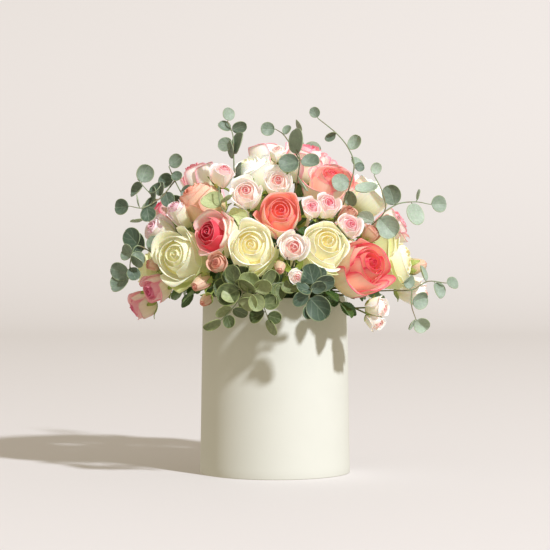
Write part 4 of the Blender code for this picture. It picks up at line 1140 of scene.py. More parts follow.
def foam_height(radius: float | Array) -> float | Array:
    """Height of the foam's domed top, which falls with the square of the radius."""
    shoulder = BOX_HEIGHT - FOAM_SHOULDER_BELOW_RIM
    crown = BOX_HEIGHT + FOAM_CROWN_ABOVE_RIM
    return shoulder + (crown - shoulder) * (1 - (radius / FOAM_SHOULDER_RADIUS) ** 2)


def foam_point(azimuth: float, radius: float) -> Array:
    """Point on the foam's top."""
    flat = direction(azimuth, 0) * radius
    return np.array([flat[0], flat[1], foam_height(radius)])


def entry_radius(elevation: float) -> float:
    """Where a stem enters the foam: near the middle for a steep bloom, at the edge for a low one."""
    share = np.clip(elevation / STEEPEST_ELEVATION, 0, 1) ** ENTRY_POWER
    return OUTER_ENTRY_RADIUS + (INNER_ENTRY_RADIUS - OUTER_ENTRY_RADIUS) * share


def bloom_label(node: str, bloom: Bloom) -> str:
    """Name that tells one head from the others."""
    return bloom.name if node == bloom.name else f"{node}/{bloom.name}"


def all_blooms() -> list[tuple[str, Bloom]]:
    """Every head with the node that it belongs to."""
    listed = [(rose.name, rose) for rose in ROSES]
    for node, heads in SPRAYS.items():
        listed += [(node, head) for head in heads]
    return listed


@dataclass
class Stem:
    """The run of one stem or twig: its points, its thickness and the node that it belongs to."""

    node: str
    points: Array
    radius: float
    tip_bloom: str = ""


class StemPlan:
    """Plans every stem as the frame has it, and the room that each head has among them."""

    def __init__(self) -> None:
        """Plan the bundles, the sprays and the sprigs, then the heads' planes."""
        self.bundled = self.rose_stems()
        self.sprays = {node: self.spray_stems(node, heads) for node, heads in SPRAYS.items()}
        self.sprigs = {sprig.name: self.sprig_stems(sprig) for sprig in SPRIGS}
        self.all = list(self.bundled)
        for group in [*self.sprays.values(), *self.sprigs.values()]:
            self.all += group
        self.add_head_planes()

    @staticmethod
    def ease_past_heads(points: Array, first: int, last: int, radius: float, skip: tuple = ()) -> Array:
        """Bend a stem's points from first up to last sideways out of the heads.

        Each round pushes a point out along the line from a head's middle, then draws it
        towards its two neighbours.

        Args:
            points: Route, (n, 3).
            first: First point that may move.
            last: Point after the last that may move.
            radius: Stem radius.
            skip: Labels of heads that are left alone.

        Returns:
            The bent route.
        """
        points = points.copy()
        heads = [bloom for node, bloom in all_blooms() if bloom_label(node, bloom) not in skip]
        centres = np.array([bloom.middle for bloom in heads])
        rooms = np.array([bloom.radius * EASE_ROOM + radius + CLEARANCE for bloom in heads])
        for _ in range(EASE_ROUNDS):
            for i in range(first, last):
                away = points[i] - centres
                distance = np.linalg.norm(away, axis=1)
                depth = np.maximum(rooms - distance, 0)
                points[i] += (away / distance[:, None] * depth[:, None]).sum(0) * EASE_PUSH
            inner = points[first:last]
            inner += EASE_SMOOTHING * (points[first - 1:last - 1] - 2 * inner + points[first + 1:last + 1])
        return points

    @staticmethod
    def over_the_rim(points: Array, radius: float) -> Array:
        """Lift points that would touch the box's rim or wall."""
        points = points.copy()
        from_axis = np.linalg.norm(points[:, :2], axis=1)
        near_rim = (from_axis > RIM_ZONE[0]) & (from_axis < RIM_ZONE[1])
        points[near_rim, 2] = np.maximum(points[near_rim, 2], BOX_HEIGHT + radius + RIM_AIR)
        return points

    @staticmethod
    def root_heading(entry: Array) -> Array:
        """Direction in which a lone stem rises out of the foam: outwards, but mostly up."""
        outward = unit(entry - np.array([0, 0, ROOT_AIM_HEIGHT]))
        return unit(outward + np.array([0, 0, ROOT_UPRIGHT_PULL]))

    @staticmethod
    def sector_of(rose: Bloom) -> str:
        """Green node that holds a large rose's stem."""
        azimuth = rose.azimuth % 360
        for node, (first, last) in GREEN_SECTORS.items():
            if first <= azimuth < last or first <= azimuth - 360 < last:
                return node
        raise ValueError(rose.name)

    def rose_stems(self) -> list[Stem]:
        """Large roses' stems: in each bundle the middle one runs deepest and the others meet it."""
        stems = []
        for node, (first, last) in GREEN_SECTORS.items():
            roses = [rose for rose in ROSES if self.sector_of(rose) == node]
            middle = (first + last) / 2
            roses.sort(key=lambda rose: abs((rose.azimuth - middle + 180) % 360 - 180))
            foot = direction(middle, 0) * BUNDLE_FOOT_RADIUS + np.array([0, 0, BUNDLE_FOOT_HEIGHT])
            trunk_entry = foam_point(roses[0].azimuth, entry_radius(roses[0].elevation))
            for index, rose in enumerate(roses):
                entry = foam_point(rose.azimuth, entry_radius(rose.elevation))
                meet = foot + (trunk_entry - foot) * FOOT_STEP * index
                top = rose.base - rose.axis * CALYX_GAP
                span = np.linalg.norm(top - entry)
                run = hermite(entry, unit(entry - meet) * span, top, rose.axis * span * HEAD_PULL, RUN_STEPS)
                stems.append(Stem(node, np.vstack([meet, run]), ROSE_STEM_RADIUS, rose.name))
        return stems

    def spray_stems(self, node: str, heads: list[Bloom]) -> list[Stem]:
        """A spray's stem up to its fork, then one pedicel for each head.

        Args:
            node: The spray's node.
            heads: Its heads.

        Returns:
            The stem and the pedicels.
        """
        bases = np.array([head.base for head in heads])
        centre = bases.mean(axis=0)
        fork = centre + unit(DOME_CENTRE - centre) * FORK_DEPTH
        flat = fork[:2] / np.linalg.norm(fork[:2])
        azimuth = math.degrees(math.atan2(flat[0], -flat[1]))
        lift = math.degrees(math.asin(unit(fork - DOME_CENTRE)[2]))
        entry = foam_point(azimuth, entry_radius(max(lift, 0)))
        if node in SPRAY_ENTRIES:
            azimuth, radius = SPRAY_ENTRIES[node]
            entry = foam_point(azimuth, radius * MM)
        outward = self.root_heading(entry)
        root = entry - outward * ROOT_DEPTH
        span = np.linalg.norm(fork - entry)
        run = hermite(entry, outward * span, fork, unit(centre - fork) * span * FORK_PULL, RUN_STEPS)
        points = self.over_the_rim(np.vstack([root, run]), SPRAY_STEM_RADIUS)
        labels = tuple(bloom_label(node, head) for head in heads)
        points = self.ease_past_heads(points, 2, len(points) - 1, SPRAY_STEM_RADIUS, labels)
        stems = [Stem(node, self.over_the_rim(points, SPRAY_STEM_RADIUS), SPRAY_STEM_RADIUS)]
        for head, label in zip(heads, labels):
            tip = head.base + head.axis * TIP_SINK_SHARE * head.height
            stems.append(Stem(node, np.array([fork, tip]), PEDICEL_RADIUS, label))
        return stems

    def sprig_stems(self, sprig: Sprig) -> list[Stem]:
        """A eucalyptus stem from the foam outwards, then its side twigs.

        Args:
            sprig: The sprig.

        Returns:
            One stem for each of its branches.
        """
        entry = foam_point(sprig.entry_azimuth, sprig.entry_radius * MM)
        outward = self.root_heading(entry)
        root = entry - outward * ROOT_DEPTH
        stems = []
        for index, branch in enumerate(sprig.branches):
            route = np.array(branch.route, dtype=float) * MM
            if index == 0:
                span = np.linalg.norm(route[0] - entry)
                onward = unit(route[1] - route[0])
                run = hermite(entry, outward * span * ROOT_PULL, route[0], onward * span * FORK_PULL,
                              RUN_STEPS)
                route = self.over_the_rim(np.vstack([root, run, route[1:]]), SPRIG_STEM_RADIUS)
                inner_end = len(route) - len(branch.route) + 1
                route = self.ease_past_heads(route, 2, inner_end, SPRIG_STEM_RADIUS)
                route = self.over_the_rim(route, SPRIG_STEM_RADIUS)
            stems.append(Stem(sprig.name, route, SPRIG_STEM_RADIUS))
        return stems

    def add_head_planes(self) -> None:
        """Give each head the planes that keep it off its neighbours and off passing stems."""
        heads = all_blooms()
        for node, bloom in heads:
            bloom.planes.clear()
            for _, other in heads:
                if other is bloom:
                    continue
                offset = other.middle - bloom.middle
                gap = np.linalg.norm(offset)
                if gap > bloom.radius + other.radius + NEIGHBOUR_REACH:
                    continue
                share = (gap**2 + bloom.radius**2 - other.radius**2) / (2 * gap)
                bloom.planes.append((offset / gap, share - CLEARANCE))
            label = bloom_label(node, bloom)
            for stem in self.all:
                if stem.node == node or stem.tip_bloom == label:
                    continue
                for start, end in zip(stem.points[:-1], stem.points[1:]):
                    along = end - start
                    share = np.clip((bloom.middle - start) @ along / (along @ along), 0, 1)
                    offset = start + along * share - bloom.middle
                    gap = np.linalg.norm(offset)
                    if gap < bloom.radius * STEM_REACH_SHARE + STEM_REACH:
                        bloom.planes.append((offset / gap, gap - stem.radius - CLEARANCE))


@dataclass(frozen=True)
class PetalForm:
    """Sizes of one petal, as shares of its head's radius and height; angles are in degrees."""

    azimuth: float
    layer: float
    wall: float
    lip: float
    height: float
    shoulder: float
    span: float
    roll: float
    roll_radius: float
    round_off: float
    lap: float
    wave: float
    phase: float
    flatness: float = 0.0
    point: float = 0.0
    side_roll: float = 0.5
    slant: float = 0.0
    shift: tuple[float, float] = (0.0, 0.0)


# Share of a petal's length from which its lip rolls outwards, the widest half turn in degrees
# over which a petal may be flat, and the least distance from the axis as a share of the radius.
LIP_START = 0.66
WIDEST_FLAT = 52
NEAREST_AXIS = 0.012
GOLDEN_ANGLE = 137.5
STRAY_ANGLE = 18


def petal_grid(form: PetalForm, radius: float, height: float, rows: int, columns: int) -> Array:
    """Grid of one petal in its head's frame.

    A petal is a patch of a cup. Along it, a cubic curve climbs from the claw up the wall to its
    shoulder and leans in or out to the lip, where an arc rolls it on outwards, more so towards
    its sides. Across it, the patch turns about the head's axis, and is as flat as it is asked
    to be: the radius grows with one over the cosine. The blade is rounded: its length shrinks
    towards its sides. One side stands further out than the other, so that petals overlap, a
    slow wave runs along the rim, and the whole petal may be slanted and shifted off the axis.

    Args:
        form: The petal's sizes.
        radius: Head radius.
        height: Head height.
        rows: Points along the petal.
        columns: Points across it.

    Returns:
        (rows, columns, 3).
    """
    u, v = np.meshgrid(np.linspace(-1, 1, columns), np.linspace(0, 1, rows))
    v = v * (1 - form.round_off * np.abs(u) ** 2.8 + form.point * ((1 - np.abs(u)) ** 2 - 0.4))
    climb = np.minimum(v / LIP_START, 1)
    scale = np.array([radius, height])
    shares = ((0.07 + 0.10 * form.layer, 0.015 * form.layer),
              (form.wall * 1.15 + 0.05, -0.01),
              (form.wall, form.shoulder * form.height),
              (form.lip, form.height))
    wall, slope = cubic(tuple(np.array(pair) * scale for pair in shares), climb)
    slope = unit(slope)
    onward = np.maximum((v - LIP_START) / (1 - LIP_START), 0)
    turn = np.radians(form.roll) * (1 + form.side_roll * (u**2 - 0.3)) * onward
    bend = form.roll_radius * radius
    r = wall[..., 0] + bend * (np.sin(turn) * slope[..., 0] + (1 - np.cos(turn)) * slope[..., 1])
    z = wall[..., 1] + bend * (np.sin(turn) * slope[..., 1] - (1 - np.cos(turn)) * slope[..., 0])
    loosen = smooth_rise(v, 0.10, 0.95)
    swing = np.radians(np.minimum(form.span, WIDEST_FLAT) * u)
    r = r * (1 + form.flatness * loosen * (1 / np.cos(swing) - 1))
    r = r + radius * loosen * form.lap * u
    r = r + radius * form.wave * loosen * np.sin(2.6 * u + form.phase)
    z = z + height * form.wave * 0.5 * loosen**2 * np.cos(3.4 * u + 1.7 * form.phase)
    z = z + height * form.slant * loosen * u
    r = np.maximum(r, NEAREST_AXIS * radius)
    phi = np.radians(form.azimuth + form.span * u)
    along = radius * form.shift[0] * loosen
    aside = radius * form.shift[1] * loosen
    return np.stack([r * np.cos(phi) + along, r * np.sin(phi) + aside, z], -1)


@dataclass
class RoseHead:
    """A rose from its heart to its guard petals, set in a spiral of golden angles.

    The petals round the heart wrap most of the way round and lean in over it, so that their
    backs show as broad arcs. Going outwards they cover less of the turn, stand lower and
    wider, and at last cup upright and roll back. A bed of crowded petal feet closes the slits
    between them at a shallow depth.
    """

    bloom: Bloom
    petal_count: int
    rows: int
    columns: int
    rng: np.random.Generator
    ruffle: float = 1.0
    bed_reach: float = 0.62
    bed_top: float = 0.86
    bed_fall: float = 0.36
    bed_sides: int = 24
    bed_rings: int = 8

    def form(self, s: float, azimuth: float, jitter: Array) -> PetalForm:
        """Sizes of one petal.

        Args:
            s: From 0 in the heart to 1 at the outside.
            azimuth: Where the petal stands.
            jitter: Chance values from -1 to 1.

        Returns:
            The petal's form.
        """
        openness = self.bloom.openness
        outer = smooth_rise(s, 0.62, 1.0)
        lip = 0.015 + 0.82 * s**0.95 + (0.05 + 0.12 * openness) * outer
        lean = 0.05 + 0.14 * math.sin(math.pi * min(s / 0.90, 1.0)) - 0.10 * outer
        return PetalForm(
            azimuth=azimuth,
            layer=s,
            wall=lip + lean,
            lip=lip + 0.02 * s * jitter[0],
            height=(1 - 0.03 * s - 0.20 * s**2.4) * (1 + (0.025 + 0.025 * s) * jitter[1]),
            shoulder=0.80 - 0.04 * s,
            span=50 + 62 * (1 - s) ** 1.6 + 6 * jitter[2],
            roll=52 + 20 * s + (20 + 50 * openness) * outer + 22 * jitter[3],
            roll_radius=0.022 + 0.035 * s + 0.06 * outer,
            round_off=0.34 + 0.20 * s**0.7 + 0.05 * jitter[4],
            lap=0.020 + 0.025 * s,
            wave=(0.004 + 0.026 * s * (1 + 0.5 * jitter[4])) * self.ruffle,
            phase=3 * jitter[5],
            flatness=0.10 + 0.35 * s,
            point=0.03 + 0.06 * s,
            side_roll=0.6 + 0.3 * jitter[6],
            slant=(0.075 - 0.030 * s) * self.ruffle * jitter[7],
            shift=tuple(self.ruffle * 0.036 * jitter[8:10]),
        )

    def guard(self, azimuth: float, flare: float, jitter: Array) -> PetalForm:
        """Sizes of a broad guard petal that leans away from the head.

        Args:
            azimuth: Where the petal stands.
            flare: From 0 upright to 1 fallen open.
            jitter: Chance values from -1 to 1.

        Returns:
            The petal's form.
        """
        return PetalForm(
            azimuth=azimuth,
            layer=GUARD_LAYER,
            wall=0.94 + 0.06 * flare,
            lip=1.02 + 0.22 * flare,
            height=0.84 - 0.22 * flare,
            shoulder=0.74,
            span=50,
            roll=50 + 60 * flare,
            roll_radius=0.16,
            round_off=0.52,
            lap=0.02,
            wave=0.035,
            phase=3 * jitter[5],
            flatness=0.50,
            point=0.14,
            side_roll=0.9,
            slant=0.03 * jitter[7],
        )

    def forms(self) -> list[PetalForm]:
        """The sizes of every petal, heart first.

        Returns:
            One form for each petal.
        """
        forms = []
        for k in range(self.petal_count):
            jitter = self.rng.uniform(-1, 1, 10)
            azimuth = k * GOLDEN_ANGLE + STRAY_ANGLE * jitter[0]
            forms.append(self.form(k / (self.petal_count - 1), azimuth, jitter))
        for azimuth, flare in self.bloom.guards:
            forms.append(self.guard(azimuth, flare, self.rng.uniform(-1, 1, 10)))
        return forms

    def bed(self) -> Array:
        """Grid of the bed: a low cone whose height falls evenly with the radius.

        Returns:
            (rings, sides, 3).
        """
        share = np.linspace(self.bed_reach, 0.02, self.bed_rings)[:, None]
        phi = np.linspace(0, 2 * math.pi, self.bed_sides)[None, :]
        r = self.bloom.radius * share
        z = self.bloom.height * (self.bed_top - self.bed_fall * share)
        return np.stack([r * np.cos(phi), r * np.sin(phi), z + 0 * phi], -1)

    def add_to(self, draft: Draft, slot: int) -> Array:
        """Add the petals to a draft.

        Args:
            draft: The piece that takes them.
            slot: Material slot of the petals.

        Returns:
            All petal points, in the world.
        """
        bloom = self.bloom
        grids = []
        for form in self.forms():
            grid = petal_grid(form, bloom.radius, bloom.height, self.rows, self.columns)
            points = bloom.confine(bloom.place(grid.reshape(-1, 3)))
            draft.sheet(points.reshape(grid.shape), PETAL_THICKNESS, slot, form.layer, self.rng.random())
            grids.append(points)
        bed = self.bed()
        points = bloom.confine(bloom.place(bed.reshape(-1, 3)))
        draft.sheet(points.reshape(bed.shape), PETAL_THICKNESS, slot, 0.1, 0.5)
        return np.concatenate(grids)


@dataclass
class BudHead(RoseHead):
    """A closed bud: a few petals wrapped round each other, drawn in at the tip, which a small
    plug closes.
    """

    bed_reach: float = 0.5
    bed_top: float = 0.90
    bed_fall: float = 0.30
    bed_sides: int = 16
    bed_rings: int = 6

    def form(self, s: float, azimuth: float, jitter: Array) -> PetalForm:
        """Sizes of one petal.

        Args:
            s: From 0 in the heart to 1 at the outside.
            azimuth: Where the petal stands.
            jitter: Chance values from -1 to 1.

        Returns:
            The petal's form.
        """
        return PetalForm(
            azimuth=azimuth,
            layer=s,
            wall=0.48 + 0.50 * s,
            lip=0.03 + 0.52 * s,
            height=1.0 - 0.13 * s + 0.02 * jitter[1],
            shoulder=0.62,
            span=120 - 50 * s,
            roll=20 + 50 * s + 10 * jitter[2],
            roll_radius=0.04 + 0.06 * s,
            round_off=0.34,
            lap=0.04,
            wave=0.012,
            phase=3 * jitter[3],
            point=0.05,
        )


@dataclass
class Sepals:
    """Five narrow green leaves under a head, spread under an open one and hugging a bud."""

    bloom: Bloom
    length: float
    width: float
    spread: float
    length_chance: float = 0.2
    spread_chance: float = 14
    turn_chance: float = 8
    start_angle: float = 88
    tip_angle: float = 25
    trough: float = 0.25
    count: int = 5
    rows: int = 9
    columns: int = 5

    def outside(self, points: Array, petals: Array) -> Array:
        """Push points straight out of the head to just beyond its petals in the same heading.

        Args:
            points: (n, 3).
            petals: Points of the head's petals.

        Returns:
            The points outside the petals.
        """
        away = points - self.bloom.middle
        distance = np.linalg.norm(away, axis=1)
        heading = away / distance[:, None]
        reach = petals - self.bloom.middle
        length = np.linalg.norm(reach, axis=1)
        same = reach @ heading.T > SAME_HEADING * length[:, None]
        limit = np.where(same, length[:, None] + SEPAL_AIR, 0).max(axis=0)
        return self.bloom.middle + heading * np.maximum(distance, limit)[:, None]

    def add_to(self, draft: Draft, slot: int, petals: Array, rng: np.random.Generator) -> None:
        """Add the sepals to a draft.

        A sepal leaves the seat outwards, turns up along the head by its spread, narrows to a
        tip with the sine of its length, and is folded like a shallow trough.

        Args:
            draft: The piece that takes them.
            slot: Material slot.
            petals: Points of the head's petals, which the sepals stay outside of.
            rng: Source of chance.
        """
        u, v = np.meshgrid(np.linspace(-1, 1, self.columns), np.linspace(0, 1, self.rows))
        for k in range(self.count):
            length = self.length * (1 + self.length_chance * rng.uniform(-1, 1))
            spread = self.spread + self.spread_chance * rng.uniform(-1, 1)
            turned = (self.start_angle - spread) * smooth_rise(v, 0.0, 0.35)
            angle = np.radians(self.start_angle - turned + self.tip_angle * v**3)
            step = length / (self.rows - 1)
            r = HIP_RADIUS * 0.5 + np.cumsum(np.sin(angle), axis=0) * step
            z = -CALYX_SINK + np.cumsum(np.cos(angle), axis=0) * step
            half = self.width / 2 * (np.sin(np.pi * (0.18 + 0.81 * v)) ** 0.8 + 0.03)
            side = u * half
            lift = self.trough * np.abs(u) * half
            phi = np.radians(360 / self.count * k + self.turn_chance * rng.uniform(-1, 1))
            outward = np.array([np.cos(phi), np.sin(phi), 0.0])
            across = np.array([-np.sin(phi), np.cos(phi), 0.0])
            normal = -np.cos(angle)[..., None] * outward + np.sin(angle)[..., None] * np.array([0, 0, 1.0])
            grid = r[..., None] * outward + z[..., None] * np.array([0, 0, 1.0])
            grid = grid + side[..., None] * across + lift[..., None] * normal
            points = self.outside(self.bloom.place(grid.reshape(-1, 3)), petals)
            draft.sheet(points.reshape(grid.shape), LEAF_THICKNESS, slot, 0.5, rng.random())


class Crowd:
    """Everything that a leaf must stay clear of: heads, stems of other nodes and the box."""

    def __init__(self, stems: list[Stem]) -> None:
        """Start with the stems; heads are added as they are built."""
        self.stems = stems
        self.heads: list[tuple[Array, Array]] = []
        self.petals: dict[str, Array] = {}

    def add_head(self, bloom: Bloom, points: Array) -> None:
        """Add a head by a thinned cloud of its petal points."""
        self.heads.append((bloom.middle, points[::HEAD_THINNING]))
        self.petals[bloom.name] = points[::PETAL_THINNING]

    def clear_heads(self, points: Array) -> Array:
        """Push points straight out of every head that they would touch.

        A head's reach in a heading is the largest projection of its points on that heading.

        Args:
            points: (n, 3).

        Returns:
            The points outside the heads.
        """
        points = points.copy()
        low, high = points.min(axis=0) - NEIGHBOUR_REACH, points.max(axis=0) + NEIGHBOUR_REACH
        near = [(centre, cloud) for centre, cloud in self.heads
                if (cloud.max(axis=0) > low).all() and (cloud.min(axis=0) < high).all()]
        for _ in range(4):
            for centre, corners in near:
                away = points - centre
                distance = np.linalg.norm(away, axis=1)
                heading = away / distance[:, None]
                support = ((corners - centre) @ heading.T).max(axis=0) + LEAF_MARGIN
                points += heading * np.maximum(support - distance, 0)[:, None]
        return points

    def clear_stems(self, points: Array, node: str) -> Array:
        """Push points away from the stems of other nodes.

        Args:
            points: (n, 3).
            node: Node whose own stems don't count.

        Returns:
            The points clear of the stems.
        """
        points = points.copy()
        for stem in self.stems:
            if stem.node == node:
                continue
            for start, end in zip(stem.points[:-1], stem.points[1:]):
                along = end - start
                share = np.clip((points - start) @ along / (along @ along), 0, 1)
                away = points - start - share[:, None] * along
                distance = np.linalg.norm(away, axis=1)
                short = np.maximum(stem.radius + LEAF_MARGIN - distance, 0)
                points += away / np.maximum(distance, 1e-6)[:, None] * short[:, None]
        return points

    @staticmethod
    def clear_box(points: Array) -> Array:
        """Push points that hang beside the box out of its wall."""
        points = points.copy()
        from_axis = np.linalg.norm(points[:, :2], axis=1)
        wall = box_radius(np.clip(points[:, 2], 0, BOX_HEIGHT)) + LEAF_MARGIN
        beside = (points[:, 2] < BOX_HEIGHT + LEAF_MARGIN) & (from_axis < wall)
        points[:, :2] *= np.where(beside, wall / np.maximum(from_axis, 1e-6), 1)[:, None]
        return points

    def settle(self, grid: Array, node: str) -> Array:
        """Bend a leaf's grid, all but its root row, clear of everything.

        Args:
            grid: (rows, columns, 3).
            node: The leaf's node.

        Returns:
            The settled grid.
        """
        points = grid[1:].reshape(-1, 3)
        for _ in range(2):
            points = self.clear_box(self.clear_stems(self.clear_heads(points), node))
        settled = grid.copy()
        settled[1:] = points.reshape(grid[1:].shape)
        return settled


@dataclass
class LargeRose:
    """One large rose: its petals stand for the frame's solid."""

    bloom: Bloom
    petal_count: int = 17
    rows: int = 16
    columns: int = 15

    def build(self, crowd: Crowd, rng: np.random.Generator) -> bpy.types.Object:
        """Make the rose.

        Args:
            crowd: Takes the head, so that leaves keep off it.
            rng: Source of chance.

        Returns:
            The piece.
        """
        draft = Draft()
        head = RoseHead(self.bloom, self.petal_count, self.rows, self.columns, rng)
        crowd.add_head(self.bloom, head.add_to(draft, 0))
        piece = draft.build(f"{self.bloom.name}_petals", [finish_of(self.bloom.petals)])
        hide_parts(self.bloom.name)
        return piece


@dataclass
class RoseSpray:
    """A spray rose: its stem, pedicels, sepals, small open heads and buds in one piece.

    Sepals are given by their length, their width and their spread in degrees. The first two
    are shares of the head's radius, but a bud's length is a share of its height.
    """

    node: str
    heads: list[Bloom]
    petal_count: int = 15
    bud_petals: int = 8
    rows: int = 12
    columns: int = 11
    ruffle: float = 1.35
    taper: tuple[float, float] = (1.1, 0.9)
    pedicel_points: int = 9
    pedicel_swell: float = 1.6
    bud_sepals: tuple[float, float, float] = (0.62, 0.62, 4)
    open_sepals: tuple[float, float, float] = (1.0, 0.34, 38)

    def build(self, plan: StemPlan, crowd: Crowd, rng: np.random.Generator) -> bpy.types.Object:
        """Make the spray.

        Args:
            plan: The planned stems.
            crowd: Takes the heads.
            rng: Source of chance.

        Returns:
            The piece.
        """
        draft = Draft()
        finishes = [SPRAY_STEM_SKIN.material(), SEPALS.material()]
        stems = plan.sprays[self.node]
        trunk = smooth_route(stems[0].points)
        draft.tube(trunk, np.linspace(*self.taper, len(trunk)) * SPRAY_STEM_RADIUS, 10, 0)
        for head, stem in zip(self.heads, stems[1:]):
            finish = finish_of(head.petals)
            if finish not in finishes:
                finishes.append(finish)
            slot = finishes.index(finish)
            share = np.linspace(0, 1, self.pedicel_points)
            path = np.linspace(stem.points[0], stem.points[1], self.pedicel_points)
            swell = 1 + self.pedicel_swell * smooth_rise(share, 0.72, 0.95)
            draft.tube(path, PEDICEL_RADIUS * swell, 8, 0)
            if "bud" in head.name:
                petals = BudHead(head, self.bud_petals, self.rows, self.columns, rng)
                long, wide, spread = self.bud_sepals
                sepals = Sepals(head, head.height * long, head.radius * wide, spread)
            else:
                petals = RoseHead(head, self.petal_count, self.rows, self.columns, rng, self.ruffle)
                long, wide, spread = self.open_sepals
                sepals = Sepals(head, head.radius * long * head.sepals, head.radius * wide * head.sepals,
                                spread)
            points = petals.add_to(draft, slot)
            crowd.add_head(head, points)
            sepals.add_to(draft, 1, points, rng)
        piece = draft.build(f"{self.node}_grown", finishes)
        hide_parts(self.node)
        return piece


@dataclass
class RoseGreens:
    """Stems, hips, sepals and leaves of the large roses in one sector of the dome."""

    node: str
    leaflet_width_share: float = 0.60
    leaflet_fold: float = 0.10
    inner_shares: tuple[float, ...] = (0.30, 0.55, 0.78)
    inner_length: float = 0.040
    petiole_share: float = 0.42
    petiole_pull: tuple[float, float] = (0.04, 0.03)
    leaflet_stalk: float = 0.002
    inner_stalk: float = 0.003
    side_leaflets: tuple[float, float] = (0.75, 0.35)
    sepals: tuple[float, float, float] = (0.80, 0.26, 48)
    teeth: int = 9
    tooth_depth: float = 0.09
    rows: int = 28
    columns: int = 9

    def leaflet_grid(self, root: Array, tip: Array, face: Array) -> Array:
        """Grid of one leaflet.

        Its half-width follows the sine of the length to the power 0.8 and is notched by a
        saw wave; both halves are folded up a little along the midrib and the tip bends back.

        Args:
            root: Foot of the leaflet.
            tip: Its tip.
            face: Where its upper side looks.

        Returns:
            (rows, columns, 3).
        """
        along = tip - root
        length = np.linalg.norm(along)
        along = along / length
        face = unit(face - along * (face @ along))
        across = np.cross(face, along)
        u, v = np.meshgrid(np.linspace(-1, 1, self.columns), np.linspace(0, 1, self.rows))
        saw = (v * self.teeth) % 1.0
        notch = 1 - self.tooth_depth * saw * smooth_rise(v, 0.05, 0.2)
        half = np.maximum(np.sin(np.pi * (0.03 + 0.95 * v**0.9)), 0.02) ** 0.8 * notch
        half = half * self.leaflet_width_share * length / 2
        fold = self.leaflet_fold * length * np.abs(u) ** 1.4 * (half / (0.3 * length))
        ripple = 0.012 * length * np.sin(v * 21) * np.abs(u)
        bow = -0.10 * length * v**2
        return (root + (v * length)[..., None] * along + (u * half)[..., None] * across
                + (fold + ripple + bow)[..., None] * face)

    def add_leaf(self, draft: Draft, stem: Stem, tip: tuple, length: float, count: int, crowd: Crowd,
                 rng: np.random.Generator) -> None:
        """Add a petiole and its leaflets, placed as the frame has them.

        Args:
            draft: The piece that takes them.
            stem: The rose stem that the leaf grows from.
            tip: Tip of the end leaflet in mm.
            length: Leaflet length in mm.
            count: One leaflet or three.
            crowd: What the leaflets keep off.
            rng: Source of chance.
        """
        end = np.array(tip, dtype=float) * MM
        start, _ = route_point(stem.points[1:], self.petiole_share)
        outward = unit(end - DOME_CENTRE)
        heading = unit(end - start)
        joint = end - unit(heading + outward * 0.2) * length * MM
        run = hermite(start, outward * self.petiole_pull[0], joint, heading * self.petiole_pull[1], 4)
        run = StemPlan.ease_past_heads(run, 1, len(run) - 1, PEDICEL_RADIUS, (stem.tip_bloom,))
        run = smooth_route(StemPlan.over_the_rim(run, PEDICEL_RADIUS))
        draft.tube(run, np.full(len(run), PEDICEL_RADIUS), 8, 0)
        joint = run[-1]
        ends = [end]
        if count == 3:
            sideways = unit(np.cross(outward, heading))
            reach = length * MM * self.side_leaflets[0]
            ends += [joint + (heading * self.side_leaflets[1] + sideways * side) * reach
                     for side in (1, -1)]
        for tip_point in ends:
            root = joint + unit(tip_point - joint) * self.leaflet_stalk
            grid = crowd.settle(self.leaflet_grid(root, tip_point, outward), self.node)
            draft.sheet(grid, LEAF_THICKNESS, 2, 0.5, rng.random())

    def add_inner_leaves(self, draft: Draft, stem: Stem, crowd: Crowd, rng: np.random.Generator) -> None:
        """Add the leaves left on a stem between the foam and the head, which darken the gaps.

        Args:
            draft: The piece that takes them.
            stem: A rose stem.
            crowd: What the leaves keep off.
            rng: Source of chance.
        """
        for share in self.inner_shares:
            start, heading = route_point(stem.points[1:], share + 0.05 * rng.uniform(-1, 1))
            side, lift = across_frame(heading, rng.uniform(0, 360))
            along = unit(side * 0.8 + heading * 0.5 + unit(start - DOME_CENTRE) * 0.5)
            face = unit(start - DOME_CENTRE + 0.5 * lift + np.array([0, 0, 0.3]))
            length = self.inner_length * rng.uniform(0.8, 1.1)
            grid = self.leaflet_grid(start + along * self.inner_stalk, start + along * length, face)
            grid = crowd.settle(grid[::2, ::2], self.node)
            draft.sheet(grid, LEAF_THICKNESS, 2, 0.5, rng.random())

    def build(self, plan: StemPlan, crowd: Crowd, rng: np.random.Generator) -> bpy.types.Object:
        """Make the greens.

        Args:
            plan: The planned stems.
            crowd: What the leaves keep off.
            rng: Source of chance.

        Returns:
            The piece.
        """
        draft = Draft()
        roses = {rose.name: rose for rose in ROSES}
        for stem in plan.bundled:
            if stem.node != self.node:
                continue
            rose = roses[stem.tip_bloom]
            hip_start = stem.points[-1] - rose.axis * HIP_LENGTH
            path = smooth_route(np.vstack([stem.points[:-1], hip_start, stem.points[-1]]))
            share = np.linalg.norm(path - stem.points[-1], axis=1) / HIP_LENGTH
            swell = smooth_rise(1.3 - share, 0.0, 1.3) * (HIP_RADIUS - stem.radius)
            draft.tube(path, stem.radius + swell, 12, 0)
            long, wide, spread = self.sepals
            sepals = Sepals(rose, rose.radius * long, rose.radius * wide, spread)
            sepals.add_to(draft, 1, crowd.petals[rose.name], rng)
            for owner, tip, length, count in ROSE_LEAVES + GAP_LEAVES:
                if owner == rose.name:
                    self.add_leaf(draft, stem, tip, length, count, crowd, rng)
            self.add_inner_leaves(draft, stem, crowd, rng)
        piece = draft.build(f"{self.node}_grown", [ROSE_STEM_SKIN.material(), SEPALS.material(),
                                                   ROSE_LEAF.material()])
        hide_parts(self.node)
        return piece


